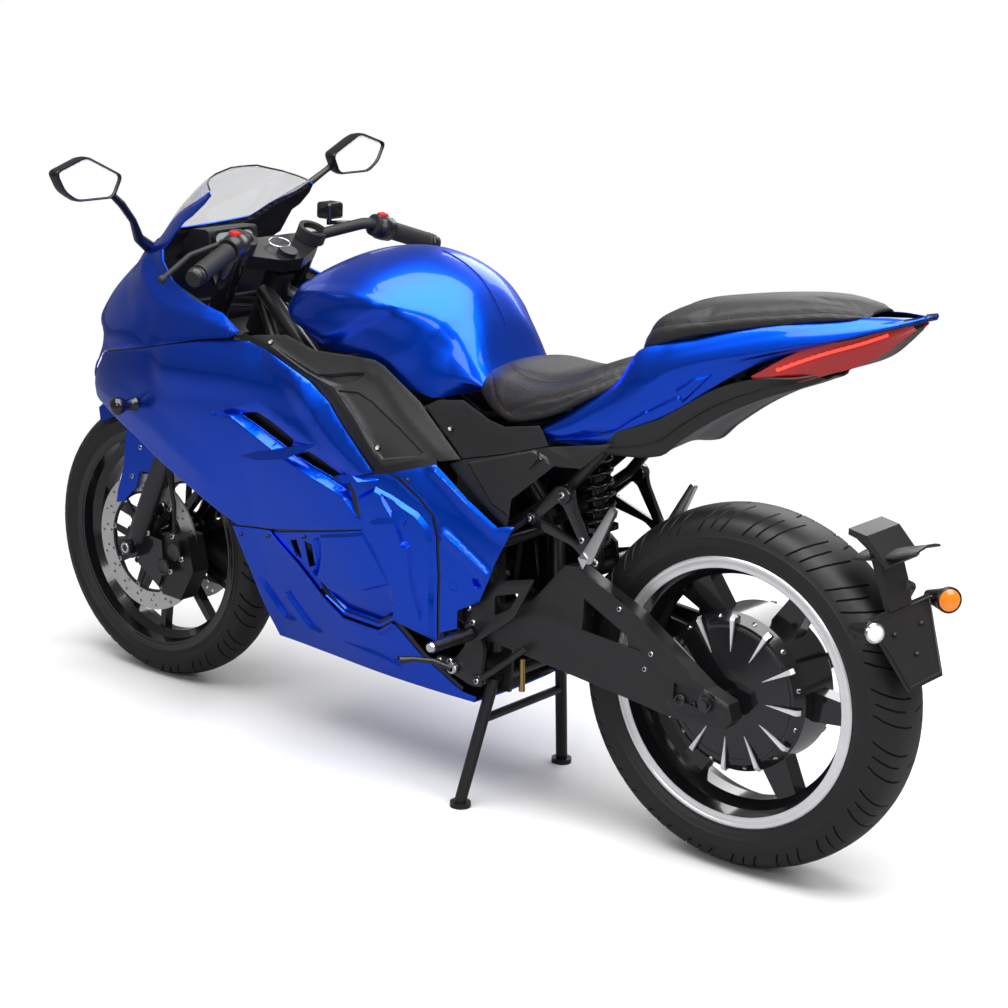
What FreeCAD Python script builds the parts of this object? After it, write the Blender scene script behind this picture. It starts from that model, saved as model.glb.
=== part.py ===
import FreeCAD, Part
import math
import os

import Sketcher
from FreeCAD import Vector

# Electric sport bike with a motor in its rear hub, parked on its centre stand.
# Lengths are millimetres. Every place in this file is measured from the rear axle along X,
# from the middle plane along Y (left is positive) and from the floor along Z.
# The placement of each sub-part then moves the whole bike by rear_axle_x, so that the
# origin lies on the floor below the middle of the bike.

doc = FreeCAD.newDocument("sport_bike")
sheet = doc.addObject("Spreadsheet::Sheet", "Sizes")

DRIVING_SIZES = [
    # wheels
    ("rear_axle_x", -675), ("rear_axle_z", 316), ("wheelbase", 1409), ("front_axle_z", 288),
    ("rear_tyre_radius", 312), ("rear_tyre_width", 140),
    ("front_tyre_radius", 288), ("front_tyre_width", 108),
    ("rim_radius", 230), ("bead_radius", 219), ("rim_wall", 6), ("tyre_wall", 9),
    ("rear_rim_width", 118), ("front_rim_width", 88),
    ("front_spokes", 5), ("rear_spokes", 6),
    ("front_disc_radius", 141), ("front_disc_inner", 100), ("front_disc_y", 58),
    ("disc_thickness", 4.5), ("rear_disc_radius", 115), ("rear_disc_y", 78),
    ("motor_radius", 138), ("motor_width", 116), ("motor_fins", 12),
    ("front_hub_radius", 38), ("front_axle_radius", 9), ("rear_axle_radius", 8),
    ("running_clearance", 0.3),
    # steering
    ("rake", 24.5), ("yoke_offset", 35), ("stem_radius", 13), ("fork_y", 95), ("fork_radius", 20),
    ("fork_lower_radius", 26), ("fork_length", 700), ("yoke_thickness", 26),
    ("bar_radius", 11), ("grip_radius", 17), ("grip_inner_y", 222), ("bar_end_y", 319),
    # frame
    ("spar_radius", 17), ("cradle_radius", 12), ("cradle_y", 94), ("cradle_z", 300),
    ("battery_length", 300), ("battery_width", 150), ("battery_height", 330),
    # swingarm
    ("swingarm_y", 108), ("swingarm_thickness", 30), ("pivot_x", 470), ("pivot_z", 348),
    ("spool_radius", 4), ("spool_depth", 20),
    # bodywork
    ("panel_wall", 4), ("cover_wall", 4), ("cover_step", 4.3), ("panel_gap", 2),
    ("nose_base_x", 1060), ("screen_wall", 3.5), ("vent_depth", 22),
    # stand
    ("stand_pivot_x", 470), ("stand_pivot_z", 236), ("stand_pivot_y", 98),
    ("stand_foot_x", 496), ("stand_foot_y", 150), ("stand_tube", 11),
    # number plate board, half widths
    ("plate_board_top", 100), ("plate_board_low", 54),
]

for row, (alias, amount) in enumerate(DRIVING_SIZES, start=1):
    sheet.set("A%d" % row, alias)
    sheet.set("B%d" % row, str(amount))
    sheet.setAlias("B%d" % row, alias)
doc.recompute()

SUB_PARTS = []


def size(alias):
    return float(sheet.get(alias))


REAR = Vector(0, 0, size("rear_axle_z"))
FRONT = Vector(size("wheelbase"), 0, size("front_axle_z"))
RAKE = math.radians(size("rake"))
FORK_UP = Vector(-math.sin(RAKE), 0, math.cos(RAKE))
FORK_BACK = Vector(-math.cos(RAKE), 0, -math.sin(RAKE))


# Helpers for parametric bodies

def base_plane(body, role):
    for feature in body.Origin.OriginFeatures:
        if feature.Role == role:
            return feature
    raise ValueError("no origin feature " + role)


def new_body(label, at="rear"):
    body = doc.addObject("PartDesign::Body", label)
    body.Label = label
    if at == "rear":
        body.setExpression("Placement.Base.x", "Sizes.rear_axle_x")
        body.setExpression("Placement.Base.z", "Sizes.rear_axle_z")
    elif at == "front":
        body.setExpression("Placement.Base.x", "Sizes.rear_axle_x + Sizes.wheelbase")
        body.setExpression("Placement.Base.z", "Sizes.front_axle_z")
    else:
        body.setExpression("Placement.Base.x", "Sizes.rear_axle_x")
    SUB_PARTS.append(body)
    return body


def outline_sketch(body, name, role, corners):
    sketch = body.newObject("Sketcher::SketchObject", name)
    sketch.AttachmentSupport = [(base_plane(body, role), "")]
    sketch.MapMode = "FlatFace"
    flat = [[float(sketch.evalExpression(str(value))) for value in corner] for corner in corners]
    count = len(flat)
    for i in range(count):
        start = Vector(flat[i][0], flat[i][1], 0)
        end = Vector(flat[(i + 1) % count][0], flat[(i + 1) % count][1], 0)
        sketch.addGeometry(Part.LineSegment(start, end), False)
    for i in range(count):
        sketch.addConstraint(Sketcher.Constraint("Coincident", i, 2, (i + 1) % count, 1))
    for i, corner in enumerate(corners):
        for kind, value, number in zip(("DistanceX", "DistanceY"), corner, flat[i]):
            place = sketch.addConstraint(Sketcher.Constraint(kind, -1, 1, i, 1, number))
            if isinstance(value, str):
                sketch.setExpression("Constraints[%d]" % place, value)
    return sketch


def circle_sketch(body, name, role, circles):
    sketch = body.newObject("Sketcher::SketchObject", name)
    sketch.AttachmentSupport = [(base_plane(body, role), "")]
    sketch.MapMode = "FlatFace"
    for i, (across, up, radius) in enumerate(circles):
        flat = [float(sketch.evalExpression(str(value))) for value in (across, up, radius)]
        sketch.addGeometry(Part.Circle(Vector(flat[0], flat[1], 0), Vector(0, 0, 1), flat[2]), False)
        rows = (("DistanceX", across, flat[0], 3), ("DistanceY", up, flat[1], 3))
        for kind, value, number, point in rows:
            place = sketch.addConstraint(Sketcher.Constraint(kind, -1, 1, i, point, number))
            if isinstance(value, str):
                sketch.setExpression("Constraints[%d]" % place, value)
        place = sketch.addConstraint(Sketcher.Constraint("Radius", i, flat[2]))
        if isinstance(radius, str):
            sketch.setExpression("Constraints[%d]" % place, radius)
    return sketch


def revolve(body, name, corners):
    # the profile lies in the XY plane as radius and side, and turns about the axle line
    sketch = outline_sketch(body, name + "_profile", "XY_Plane", corners)
    feature = body.newObject("PartDesign::Revolution", name)
    feature.Profile = sketch
    feature.ReferenceAxis = (sketch, ["V_Axis"])
    feature.Angle = 360
    body.Tip = feature
    doc.recompute()
    return feature


def pad(body, name, sketch, length, symmetric=True):
    feature = body.newObject("PartDesign::Pad", name)
    feature.Profile = sketch
    if symmetric:
        feature.SideType = "Symmetric"
    if isinstance(length, str):
        feature.setExpression("Length", length)
    else:
        feature.Length = length
    body.Tip = feature
    doc.recompute()
    return feature


def pocket_through(body, name, sketch):
    feature = body.newObject("PartDesign::Pocket", name)
    feature.Profile = sketch
    feature.SideType = "Symmetric"
    feature.Type = "ThroughAll"
    body.Tip = feature
    doc.recompute()
    return feature


def around_axle(body, name, feature, count):
    pattern = body.newObject("PartDesign::PolarPattern", name)
    pattern.Originals = [feature]
    pattern.Axis = (base_plane(body, "Y_Axis"), [""])
    pattern.Angle = 360
    if isinstance(count, str):
        pattern.setExpression("Occurrences", count)
    else:
        pattern.Occurrences = count
    body.Tip = pattern
    doc.recompute()
    return pattern


# Helpers for free shapes

PLACED = {}


def add_shape(label, shape, cut_by=()):
    # a piece gives way to the neighbours it is cut by, so that they meet face to face
    for other in cut_by:
        shape = shape.cut(PLACED[other])
    PLACED[label] = shape
    feature = doc.addObject("Part::Feature", label)
    feature.Label = label
    place = FreeCAD.Placement(Vector(size("rear_axle_x"), 0, 0), FreeCAD.Rotation())
    own = shape.Placement
    feature.Shape = shape
    feature.Placement = place.multiply(own)
    SUB_PARTS.append(feature)
    return feature


def mirrored(shape):
    return shape.mirror(Vector(0, 0, 0), Vector(0, 1, 0))


def add_pair(name, shape, cut_by=()):
    for other in cut_by:
        other = other if other in PLACED else other + "_left"
        shape = shape.cut(PLACED[other])
    add_shape(name + "_left", shape)
    add_shape(name + "_right", mirrored(shape))


def both_sides(shape):
    return Part.makeCompound([shape, mirrored(shape)])


def join(shapes):
    return shapes[0].fuse(shapes[1:]).removeSplitter()


def rod(start, end, radius):
    return Part.makeCylinder(radius, (end - start).Length, start, end - start)


def tube_run(points, radius):
    # straight runs of one round tube, with ball corners
    pieces = []
    for start, end in zip(points, points[1:]):
        pieces.append(rod(start, end, radius))
    for corner in points[1:-1]:
        pieces.append(Part.makeSphere(radius, corner))
    return join(pieces)


def bent_rod(points, radius, bend):
    # a round bar that follows straight runs with tangent arcs between them
    edges = []
    start = points[0]
    for before, corner, after in zip(points, points[1:], points[2:]):
        arm = (before - corner).normalize()
        leg = (after - corner).normalize()
        half = arm.getAngle(leg) / 2
        cut = bend / math.tan(half)
        first = corner + arm * cut
        last = corner + leg * cut
        middle = corner + (arm + leg).normalize() * (bend / math.sin(half) - bend)
        edges.append(Part.makeLine(start, first))
        edges.append(Part.Arc(first, middle, last).toShape())
        start = last
    edges.append(Part.makeLine(start, points[-1]))
    path = Part.Wire(edges)
    ring = Part.Wire([Part.makeCircle(radius, points[0], points[1] - points[0])])
    return path.makePipeShell([ring], True, False)


def side_prism(outline, y_from, y_to):
    # an outline of (x, z) corners in side view, as a solid between two widths
    corners = [Vector(x, y_from, z) for x, z in outline]
    face = Part.Face(Part.makePolygon(corners + corners[:1]))
    return face.extrude(Vector(0, y_to - y_from, 0))


def top_prism(outline, z_from, z_to):
    corners = [Vector(x, y, z_from) for x, y in outline]
    face = Part.Face(Part.makePolygon(corners + corners[:1]))
    return face.extrude(Vector(0, 0, z_to - z_from))


def loft(sections, ruled=False):
    wires = []
    for corners in sections:
        points = [Vector(*corner) for corner in corners]
        wires.append(Part.makePolygon(points + points[:1]))
    return Part.makeLoft(wires, True, ruled)


def cross_loft(stations, ruled=False):
    # closed cross sections, symmetric about the middle plane, each given by its half
    sections = []
    for x, half in stations:
        left = [(x, y, z) for y, z in half]
        right = [(x, -y, z) for y, z in reversed(half) if abs(y) > 0.01]
        sections.append(left + right)
    return loft(sections, ruled)


def between(table, at):
    # value of a smooth curve through the rows of a small table
    if at <= table[0][0]:
        return table[0][1]
    if at >= table[-1][0]:
        return table[-1][1]
    for i in range(len(table) - 1):
        if table[i][0] <= at <= table[i + 1][0]:
            break
    x0, y0 = table[i]
    x1, y1 = table[i + 1]
    xa, ya = table[max(i - 1, 0)]
    xb, yb = table[min(i + 2, len(table) - 1)]
    slope0 = (y1 - ya) / (x1 - xa)
    slope1 = (yb - y0) / (xb - x0)
    span = x1 - x0
    t = (at - x0) / span
    return ((2 * t ** 3 - 3 * t ** 2 + 1) * y0 + (t ** 3 - 2 * t ** 2 + t) * span * slope0
            + (3 * t ** 2 - 2 * t ** 3) * y1 + (t ** 3 - t ** 2) * span * slope1)


def interpolated_face_solid(outer, inner):
    # a wall between two smooth surfaces given by grids of the same size
    surfaces = []
    for grid in (outer, inner):
        surface = Part.BSplineSurface()
        surface.interpolate(grid)
        surfaces.append(surface)
    first, second = surfaces
    u0, u1, v0, v1 = first.bounds()
    a0, a1, b0, b1 = second.bounds()
    faces = [first.toShape(), second.toShape()]
    borders = [(first.uIso(u0), second.uIso(a0)), (first.uIso(u1), second.uIso(a1)),
               (first.vIso(v0), second.vIso(b0)), (first.vIso(v1), second.vIso(b1))]
    for one, other in borders:
        faces.append(Part.makeRuledSurface(one.toShape(), other.toShape()))
    shell = Part.makeShell(faces)
    shell.sewShape()
    solid = Part.makeSolid(shell)
    if solid.Volume < 0:
        solid.reverse()
    return solid


# Wheels

def make_tyre(label, at, radius, width):
    body = new_body(label, at)
    half = "Sizes.%s / 2" % width
    crown = "Sizes.%s" % radius
    tread_drop = [(1.0, 0.62), (0.78, 0.86), (0.45, 0.965), (0.0, 1.0)]
    outer = []
    for share, rise in tread_drop:
        outer.append(("Sizes.rim_radius + (%s - Sizes.rim_radius) * %s" % (crown, rise),
                      "%s * %s" % (half, share)))
    left = [("Sizes.bead_radius", "%s * 0.62" % half),
            ("Sizes.rim_radius + 4", "%s * 0.78" % half),
            ("Sizes.rim_radius + (%s - Sizes.rim_radius) * 0.3" % crown, "%s * 0.95" % half)]
    left += outer
    right = [(r, "-(%s)" % y) for r, y in reversed(left[:-1])]
    inner = [("Sizes.bead_radius", "-(%s * 0.62 - Sizes.tyre_wall)" % half),
             ("%s - Sizes.tyre_wall * 2.4" % crown, "-(%s * 0.72)" % half),
             ("%s - Sizes.tyre_wall" % crown, 0),
             ("%s - Sizes.tyre_wall * 2.4" % crown, "%s * 0.72" % half),
             ("Sizes.bead_radius", "%s * 0.62 - Sizes.tyre_wall" % half)]
    revolve(body, "carcass", left + right + inner)
    return body


def make_rim(label, at, width):
    body = new_body(label, at)
    half = "Sizes.%s / 2" % width
    seat = "Sizes.bead_radius - Sizes.running_clearance"
    well = "Sizes.bead_radius - 18"
    left = [("Sizes.rim_radius + 2", half),
            ("Sizes.rim_radius + 2", "%s - 3" % half),
            (seat, "%s - 5" % half),
            (seat, "%s * 0.45" % half),
            (well, "%s * 0.30" % half)]
    right = [(r, "-(%s)" % y) for r, y in reversed(left)]
    inner = [("Sizes.bead_radius - Sizes.rim_wall", "-(%s)" % half),
             ("Sizes.bead_radius - Sizes.rim_wall - 4", "-(%s * 0.55)" % half),
             ("%s - Sizes.rim_wall" % well, "-(%s * 0.26)" % half),
             ("%s - Sizes.rim_wall" % well, "%s * 0.26" % half),
             ("Sizes.bead_radius - Sizes.rim_wall - 4", "%s * 0.55" % half),
             ("Sizes.bead_radius - Sizes.rim_wall", half)]
    revolve(body, "barrel", left + right + inner)
    return body


def make_front_wheel():
    make_tyre("front_tyre", "front", "front_tyre_radius", "front_tyre_width")
    rim = make_rim("front_rim", "front", "front_rim_width")
    hub = "Sizes.front_hub_radius"
    bore = "Sizes.front_axle_radius + Sizes.running_clearance"
    hub_half = "Sizes.front_disc_y - 3"
    revolve(rim, "hub", [(bore, "-(%s)" % hub_half), (hub, "-(%s)" % hub_half), ("%s - 6" % hub, 0),
                         (hub, hub_half), (bore, hub_half)])
    inner_r = "%s - 8" % hub
    outer_r = "Sizes.bead_radius - 20"
    for name, lean in (("spoke_a", 1), ("spoke_b", -1)):
        corners = [(inner_r, 4 * lean), (inner_r, 22 * lean), (outer_r, 58 * lean), (outer_r, 44 * lean)]
        if lean < 0:
            corners = corners[::-1]
        spoke = pad(rim, name, outline_sketch(rim, name + "_outline", "XZ_Plane", corners), 20)
        around_axle(rim, name + "_set", spoke, "Sizes.front_spokes")
    body = new_body("front_discs", "front")
    for name, side in (("left_disc", 1), ("right_disc", -1)):
        middle = "%d * Sizes.front_disc_y" % side
        near = "%s - Sizes.disc_thickness / 2" % middle
        far = "%s + Sizes.disc_thickness / 2" % middle
        revolve(body, name, [("Sizes.front_disc_inner", near), ("Sizes.front_disc_radius", near),
                             ("Sizes.front_disc_radius", far), ("Sizes.front_disc_inner", far)])
        carrier_in = "%s - 3" % middle
        carrier_out = "%s + 3" % middle
        revolve(body, name + "_carrier_ring",
                [("Sizes.front_hub_radius - 14", carrier_in), ("Sizes.front_hub_radius + 6", carrier_in),
                 ("Sizes.front_hub_radius + 6", carrier_out), ("Sizes.front_hub_radius - 14", carrier_out)])
    arm = outline_sketch(body, "carrier_arm_outline", "XZ_Plane",
                         [("Sizes.front_hub_radius", -8), ("Sizes.front_disc_inner + 4", 8),
                          ("Sizes.front_disc_inner + 4", 20), ("Sizes.front_hub_radius", 8)])
    arms = body.newObject("PartDesign::Pad", "carrier_arm")
    arms.Profile = arm
    arms.SideType = "Symmetric"
    arms.setExpression("Length", "2 * Sizes.front_disc_y + 5")
    body.Tip = arms
    doc.recompute()
    around_axle(body, "carrier_arms", arms, 9)
    gap = circle_sketch(body, "between_discs_outline", "XZ_Plane", [(0, 0, "Sizes.front_disc_inner + 6")])
    middle_cut = body.newObject("PartDesign::Pocket", "between_discs")
    middle_cut.Profile = gap
    middle_cut.SideType = "Symmetric"
    middle_cut.setExpression("Length", "2 * Sizes.front_disc_y - 6")
    body.Tip = middle_cut
    doc.recompute()
    holes = circle_sketch(body, "vent_holes", "XZ_Plane",
                          [("Sizes.front_disc_radius - 9", 0, 3.2),
                           ("Sizes.front_disc_radius - 20", 12, 3.2),
                           ("Sizes.front_disc_radius - 31", 3, 3.2)])
    vents = pocket_through(body, "vents", holes)
    around_axle(body, "vent_ring", vents, 18)


def make_rear_wheel():
    make_tyre("rear_tyre", "rear", "rear_tyre_radius", "rear_tyre_width")
    rim = make_rim("rear_rim", "rear", "rear_rim_width")
    corners = [("Sizes.motor_radius - 6", -26), ("Sizes.bead_radius - 20", -19),
               ("Sizes.bead_radius - 20", 19), ("Sizes.motor_radius - 6", 26)]
    spoke = pad(rim, "spoke", outline_sketch(rim, "spoke_outline", "XZ_Plane", corners), 34)
    around_axle(rim, "spokes", spoke, "Sizes.rear_spokes")
    motor = "Sizes.motor_radius"
    half = "Sizes.motor_width / 2"
    bore = "Sizes.rear_axle_radius + Sizes.running_clearance"
    disc_face = "-(Sizes.rear_disc_y - Sizes.disc_thickness / 2)"
    revolve(rim, "motor_drum",
            [(bore, disc_face), ("36", disc_face), ("36", "-(%s)" % half),
             ("%s - 14" % motor, "-(%s)" % half), (motor, "-(%s) + 14" % half),
             (motor, "%s - 14" % half), ("%s - 14" % motor, half), ("46", "%s + 12" % half),
             ("30", "%s + 14" % half), (bore, "%s + 14" % half)])
    fin = outline_sketch(rim, "fin_outline", "XZ_Plane",
                         [("50", -3), ("%s - 4" % motor, -5), ("%s - 4" % motor, 5), ("50", 3)])
    fins = pad(rim, "fin", fin, "Sizes.motor_width + 12")
    around_axle(rim, "fins", fins, "Sizes.motor_fins")
    disc = new_body("rear_disc", "rear")
    near = "-(Sizes.rear_disc_y - Sizes.disc_thickness / 2)"
    far = "-(Sizes.rear_disc_y + Sizes.disc_thickness / 2)"
    revolve(disc, "plate", [("20", near), ("Sizes.rear_disc_radius", near),
                            ("Sizes.rear_disc_radius", far), ("20", far)])
    holes = circle_sketch(disc, "hole_row", "XZ_Plane",
                          [("Sizes.rear_disc_radius - 8", 0, 3.2), ("Sizes.rear_disc_radius - 20", 9, 3.2),
                           ("62", 0, 14)])
    cut = pocket_through(disc, "holes", holes)
    around_axle(disc, "hole_rows", cut, 12)


make_front_wheel()
make_rear_wheel()


# Bodywork surface: plan curves of the fairing at every height

HALF_WIDTH = [(190, 95), (300, 140), (420, 180), (520, 208), (620, 228), (680, 232), (740, 224),
              (790, 208), (830, 192), (870, 180), (930, 177), (985, 160), (1037, 144), (1070, 136)]
NOSE_TIP = [(190, 1560), (593, 1568), (650, 1560), (698, 1541), (740, 1550), (755, 1546), (810, 1504),
            (872, 1433), (929, 1359), (985, 1315), (1037, 1257), (1070, 1202)]
NOSE_POWER = [(190, 2.0), (700, 2.0), (755, 2.1), (872, 2.6), (929, 3.0), (1070, 2.6)]
TAPER = [(380, 0.68), (500, 0.76), (620, 0.88), (740, 0.97), (860, 1.0), (1060, 1.0)]
DROP = [(380, 220), (500, 180), (620, 120), (740, 70), (860, 30), (980, 0)]
SKIN_HEIGHTS = [190, 250, 320, 400, 480, 560, 630, 680, 730, 780, 830, 880, 930, 985, 1030, 1070]


def skin_half_width(x, z):
    base = size("nose_base_x")
    if x <= base:
        return between(TAPER, x) * between(HALF_WIDTH, z + between(DROP, x))
    tip = between(NOSE_TIP, z)
    share = min((x - base) / (tip - base), 1.0)
    return between(HALF_WIDTH, z) * math.sqrt(1 - share ** between(NOSE_POWER, z))


def skin_row(z, inset):
    base = size("nose_base_x")
    tip = between(NOSE_TIP, z) - inset
    row = []
    for x in (380, 440, 500, 560, 620, 680, 740, 800, 870, 940, 1000):
        row.append(Vector(x, skin_half_width(x, z) - inset, z))
    for degrees in (90, 78, 66, 54, 43, 33, 24, 16, 8, 0):
        angle = math.radians(degrees)
        forward = max(math.cos(angle), 0.0) ** (2 / between(NOSE_POWER, z))
        row.append(Vector(base + (tip - base) * forward,
                          (between(HALF_WIDTH, z) - inset) * math.sin(angle), z))
    return row


def skin_shell(inset, wall):
    outer = []
    inner = []
    for z in SKIN_HEIGHTS:
        for rows, depth in ((outer, inset), (inner, inset + wall)):
            left = skin_row(z, depth)
            right = [Vector(p.x, -p.y, p.z) for p in reversed(left[:-1])]
            rows.append(left + right)
    return interpolated_face_solid(outer, inner)


PANEL_SKIN = skin_shell(0, size("panel_wall"))
COVER_SKIN = skin_shell(size("cover_step"), size("cover_wall"))
SCREEN_SKIN = skin_shell(size("cover_step"), size("screen_wall"))
DUCT_SKIN = skin_shell(size("panel_wall") - 0.5, size("vent_depth") + 0.5)
DUCT_SPACE = skin_shell(-5, 5 + size("vent_depth"))


# Axles

def make_axles():
    rear_reach = size("swingarm_y") + size("swingarm_thickness") / 2
    bar = rod(REAR + Vector(0, -rear_reach - 18, 0), REAR + Vector(0, rear_reach + 18, 0),
              size("rear_axle_radius"))
    nuts = []
    for side in (1, -1):
        start = REAR + Vector(0, side * (rear_reach + 0.3), 0)
        corners = []
        for turn in range(6):
            angle = math.radians(60 * turn)
            corners.append(start + Vector(14 * math.cos(angle), 0, 14 * math.sin(angle)))
        nut = Part.Face(Part.makePolygon(corners + corners[:1])).extrude(Vector(0, side * 13, 0))
        washer = rod(start, start + Vector(0, side * 3, 0), 19)
        nuts += [nut, washer]
    add_shape("rear_axle", join([bar] + nuts))
    reach = size("fork_y") + 20
    bar = rod(FRONT + Vector(0, -reach - 6, 0), FRONT + Vector(0, reach + 6, 0),
              size("front_axle_radius"))
    head = rod(FRONT + Vector(0, reach, 0), FRONT + Vector(0, reach + 9, 0), 15)
    tail = rod(FRONT + Vector(0, -reach - 9, 0), FRONT + Vector(0, -reach, 0), 15)
    add_shape("front_axle", join([bar, head, tail]))


make_axles()


# Steering

STEM_BASE = FRONT + FORK_BACK * size("yoke_offset")


def on_fork(distance, y=0.0):
    return FRONT + FORK_UP * distance + Vector(0, y, 0)


def on_stem(distance, y=0.0):
    return STEM_BASE + FORK_UP * distance + Vector(0, y, 0)


LOWER_YOKE_AT = 505.0
UPPER_YOKE_AT = size("fork_length") - 10
HEAD_FROM = LOWER_YOKE_AT + 24
HEAD_TO = UPPER_YOKE_AT - 24


def yoke_plate(at, y_reach):
    thickness = size("yoke_thickness")
    stem = size("yoke_offset")
    outline = []
    for side in (1, -1):
        reach = y_reach * side
        outline += [Vector(26, reach, 0), Vector(-6, reach + side * 16, 0), Vector(-26, reach, 0),
                    Vector(-stem - 22, side * 26, 0)]
    points = outline[:4] + outline[:3:-1]
    world = []
    for point in points:
        world.append(on_fork(at) - FORK_BACK * point.x + Vector(0, point.y, 0))
    face = Part.Face(Part.makePolygon(world + world[:1]))
    plate = face.extrude(FORK_UP * thickness)
    return plate


def make_steering():
    fork_y = size("fork_y")
    radius = size("fork_radius")
    lower = size("fork_lower_radius")
    clearance = size("running_clearance")
    plates = []
    for at in (LOWER_YOKE_AT, UPPER_YOKE_AT):
        plates.append(yoke_plate(at - size("yoke_thickness") / 2, fork_y))
    stem = rod(on_stem(LOWER_YOKE_AT - 20), on_stem(UPPER_YOKE_AT + 18), size("stem_radius"))
    nut = rod(on_stem(UPPER_YOKE_AT + 10), on_stem(UPPER_YOKE_AT + 22), 19)
    yokes = join(plates + [stem, nut])
    for side in (1, -1):
        yokes = yokes.cut(rod(on_fork(0, side * fork_y), on_fork(size("fork_length") + 80, side * fork_y),
                              radius + 0.2))
    add_shape("steering_yokes", yokes)

    top = rod(on_fork(150, fork_y), on_fork(size("fork_length") + 22, fork_y), radius)
    tube = rod(on_fork(40, fork_y), on_fork(330, fork_y), lower - 3)
    seal = rod(on_fork(322, fork_y), on_fork(342, fork_y), lower)
    foot = rod(on_fork(0, fork_y - 17), on_fork(0, fork_y + 15), 24)
    shank = rod(on_fork(0, fork_y), on_fork(60, fork_y), 19)
    lug = side_prism([(1404, 318), (1404, 250), (1346, 214), (1330, 250), (1336, 312)], 85, 92)
    leg = join([top, tube, seal, foot, shank, lug])
    leg = leg.cut(rod(on_fork(0, fork_y - 40), on_fork(0, fork_y + 40), size("front_axle_radius") + clearance))
    add_pair("fork_leg", leg)

    bar_y = fork_y + 15
    clamp_at = on_fork(UPPER_YOKE_AT + size("yoke_thickness") / 2 + 1, fork_y)
    inner = clamp_at + Vector(-97, size("grip_inner_y") - fork_y, 16.4)
    outer = clamp_at + Vector(-118, size("bar_end_y") - fork_y, -14.6)
    along = (outer - inner).normalize()
    clamp = rod(clamp_at, clamp_at + FORK_UP * 24, radius + 9)
    clamp = clamp.cut(rod(clamp_at - FORK_UP, clamp_at + FORK_UP * 60, radius + 0.2))
    root = clamp_at + FORK_UP * 13 + Vector(-18, 16, 0)
    shoulder = inner - along * 62
    bar = bent_rod([root, shoulder, outer], size("bar_radius"), 30)
    grip = rod(inner, outer - along * 8, size("grip_radius"))
    end = rod(outer - along * 8, outer + along * 14, size("grip_radius") - 2)
    switch = rod(inner - along * 46, inner - along * 3, 21)
    perch = rod(inner - along * 24, inner - along * 24 + Vector(34, 0, 2), 8)
    blade_root = inner - along * 24 + Vector(34, 0, 2)
    lever = bent_rod([blade_root, blade_root + along * 70 + Vector(28, 0, 4),
                      blade_root + along * 165 + Vector(26, 0, 0)], 5, 30)
    knob = Part.makeSphere(8, blade_root + along * 165 + Vector(26, 0, 0))
    bar_set = join([clamp, bar, grip, end, switch, perch, lever, knob])
    bar_set = bar_set.cut(rod(on_fork(400, fork_y), on_fork(size("fork_length") + 90, fork_y), radius + 0.2))
    add_pair("clip_on_bar", bar_set)

    pot_at = Vector(clamp_at.x - 13, -fork_y - radius - 22.5, clamp_at.z + 37.4)
    pot = Part.makeBox(36, 42, 32, pot_at + Vector(-18, -21, 0))
    pot = pot.makeFillet(6, pot.Edges)
    post = rod(pot_at + Vector(-2, 4, -12), pot_at + Vector(-2, 4, 2), 5)
    stay = rod(Vector(inner.x + 16, 58 - inner.y, inner.z + 18), pot_at + Vector(-2, 4, -8), 4)
    add_shape("brake_reservoir", join([pot, post, stay]), ["clip_on_bar_right"])

    inner_r = size("front_tyre_radius") + 16
    outer_r = inner_r + 5
    half = size("front_tyre_width") / 2 + 14
    rings = []
    for reach, trim in ((outer_r, 0.0), (inner_r, 5.0)):
        profile = [(reach - 46, half - trim), (reach - 14, half - 10 - trim), (reach, half - 38),
                   (reach + 0.5, 0), (reach, -half + 38), (reach - 14, -half + 10 + trim),
                   (reach - 46, -half + trim)]
        points = [Vector(FRONT.x + r, y, FRONT.z) for r, y in profile]
        face = Part.Face(Part.makePolygon(points + points[:1]))
        rings.append(face.revolve(FRONT, Vector(0, 1, 0), -100))
    fender = rings[0].cut(rings[1])
    fender.rotate(FRONT, Vector(0, 1, 0), -60)
    flank = [(1398, 522), (1420, 566), (1450, 560), (1464, 496), (1469, 438), (1488, 382), (1492, 357),
             (1470, 364), (1432, 400), (1424, 436), (1336, 440), (1322, 462)]
    plate = side_prism(flank, half - 1.5, half + 2.5)
    flanks = join([plate, rod(on_fork(180, half - 1), on_fork(180, half + 8), 9)])
    fender = join([fender, flanks, mirrored(flanks)])
    add_shape("front_fender", fender, ["fork_leg_left", "fork_leg_right"])

    caliper = side_prism([(1290, 194), (1345, 196), (1352, 250), (1330, 330), (1270, 332), (1252, 262)],
                         size("front_disc_y") - 16, 85)
    slot = rod(FRONT + Vector(0, size("front_disc_y") - 4.2, 0), FRONT + Vector(0, size("front_disc_y") + 4.2, 0),
               size("front_disc_radius") + 5)
    caliper = caliper.makeFillet(5, [e for e in caliper.Edges if e.Length < 60])
    add_shape("front_calipers", both_sides(caliper.cut(slot).cut(PLACED["fork_leg_left"])))


make_steering()


# Frame, battery and rear suspension

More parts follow.
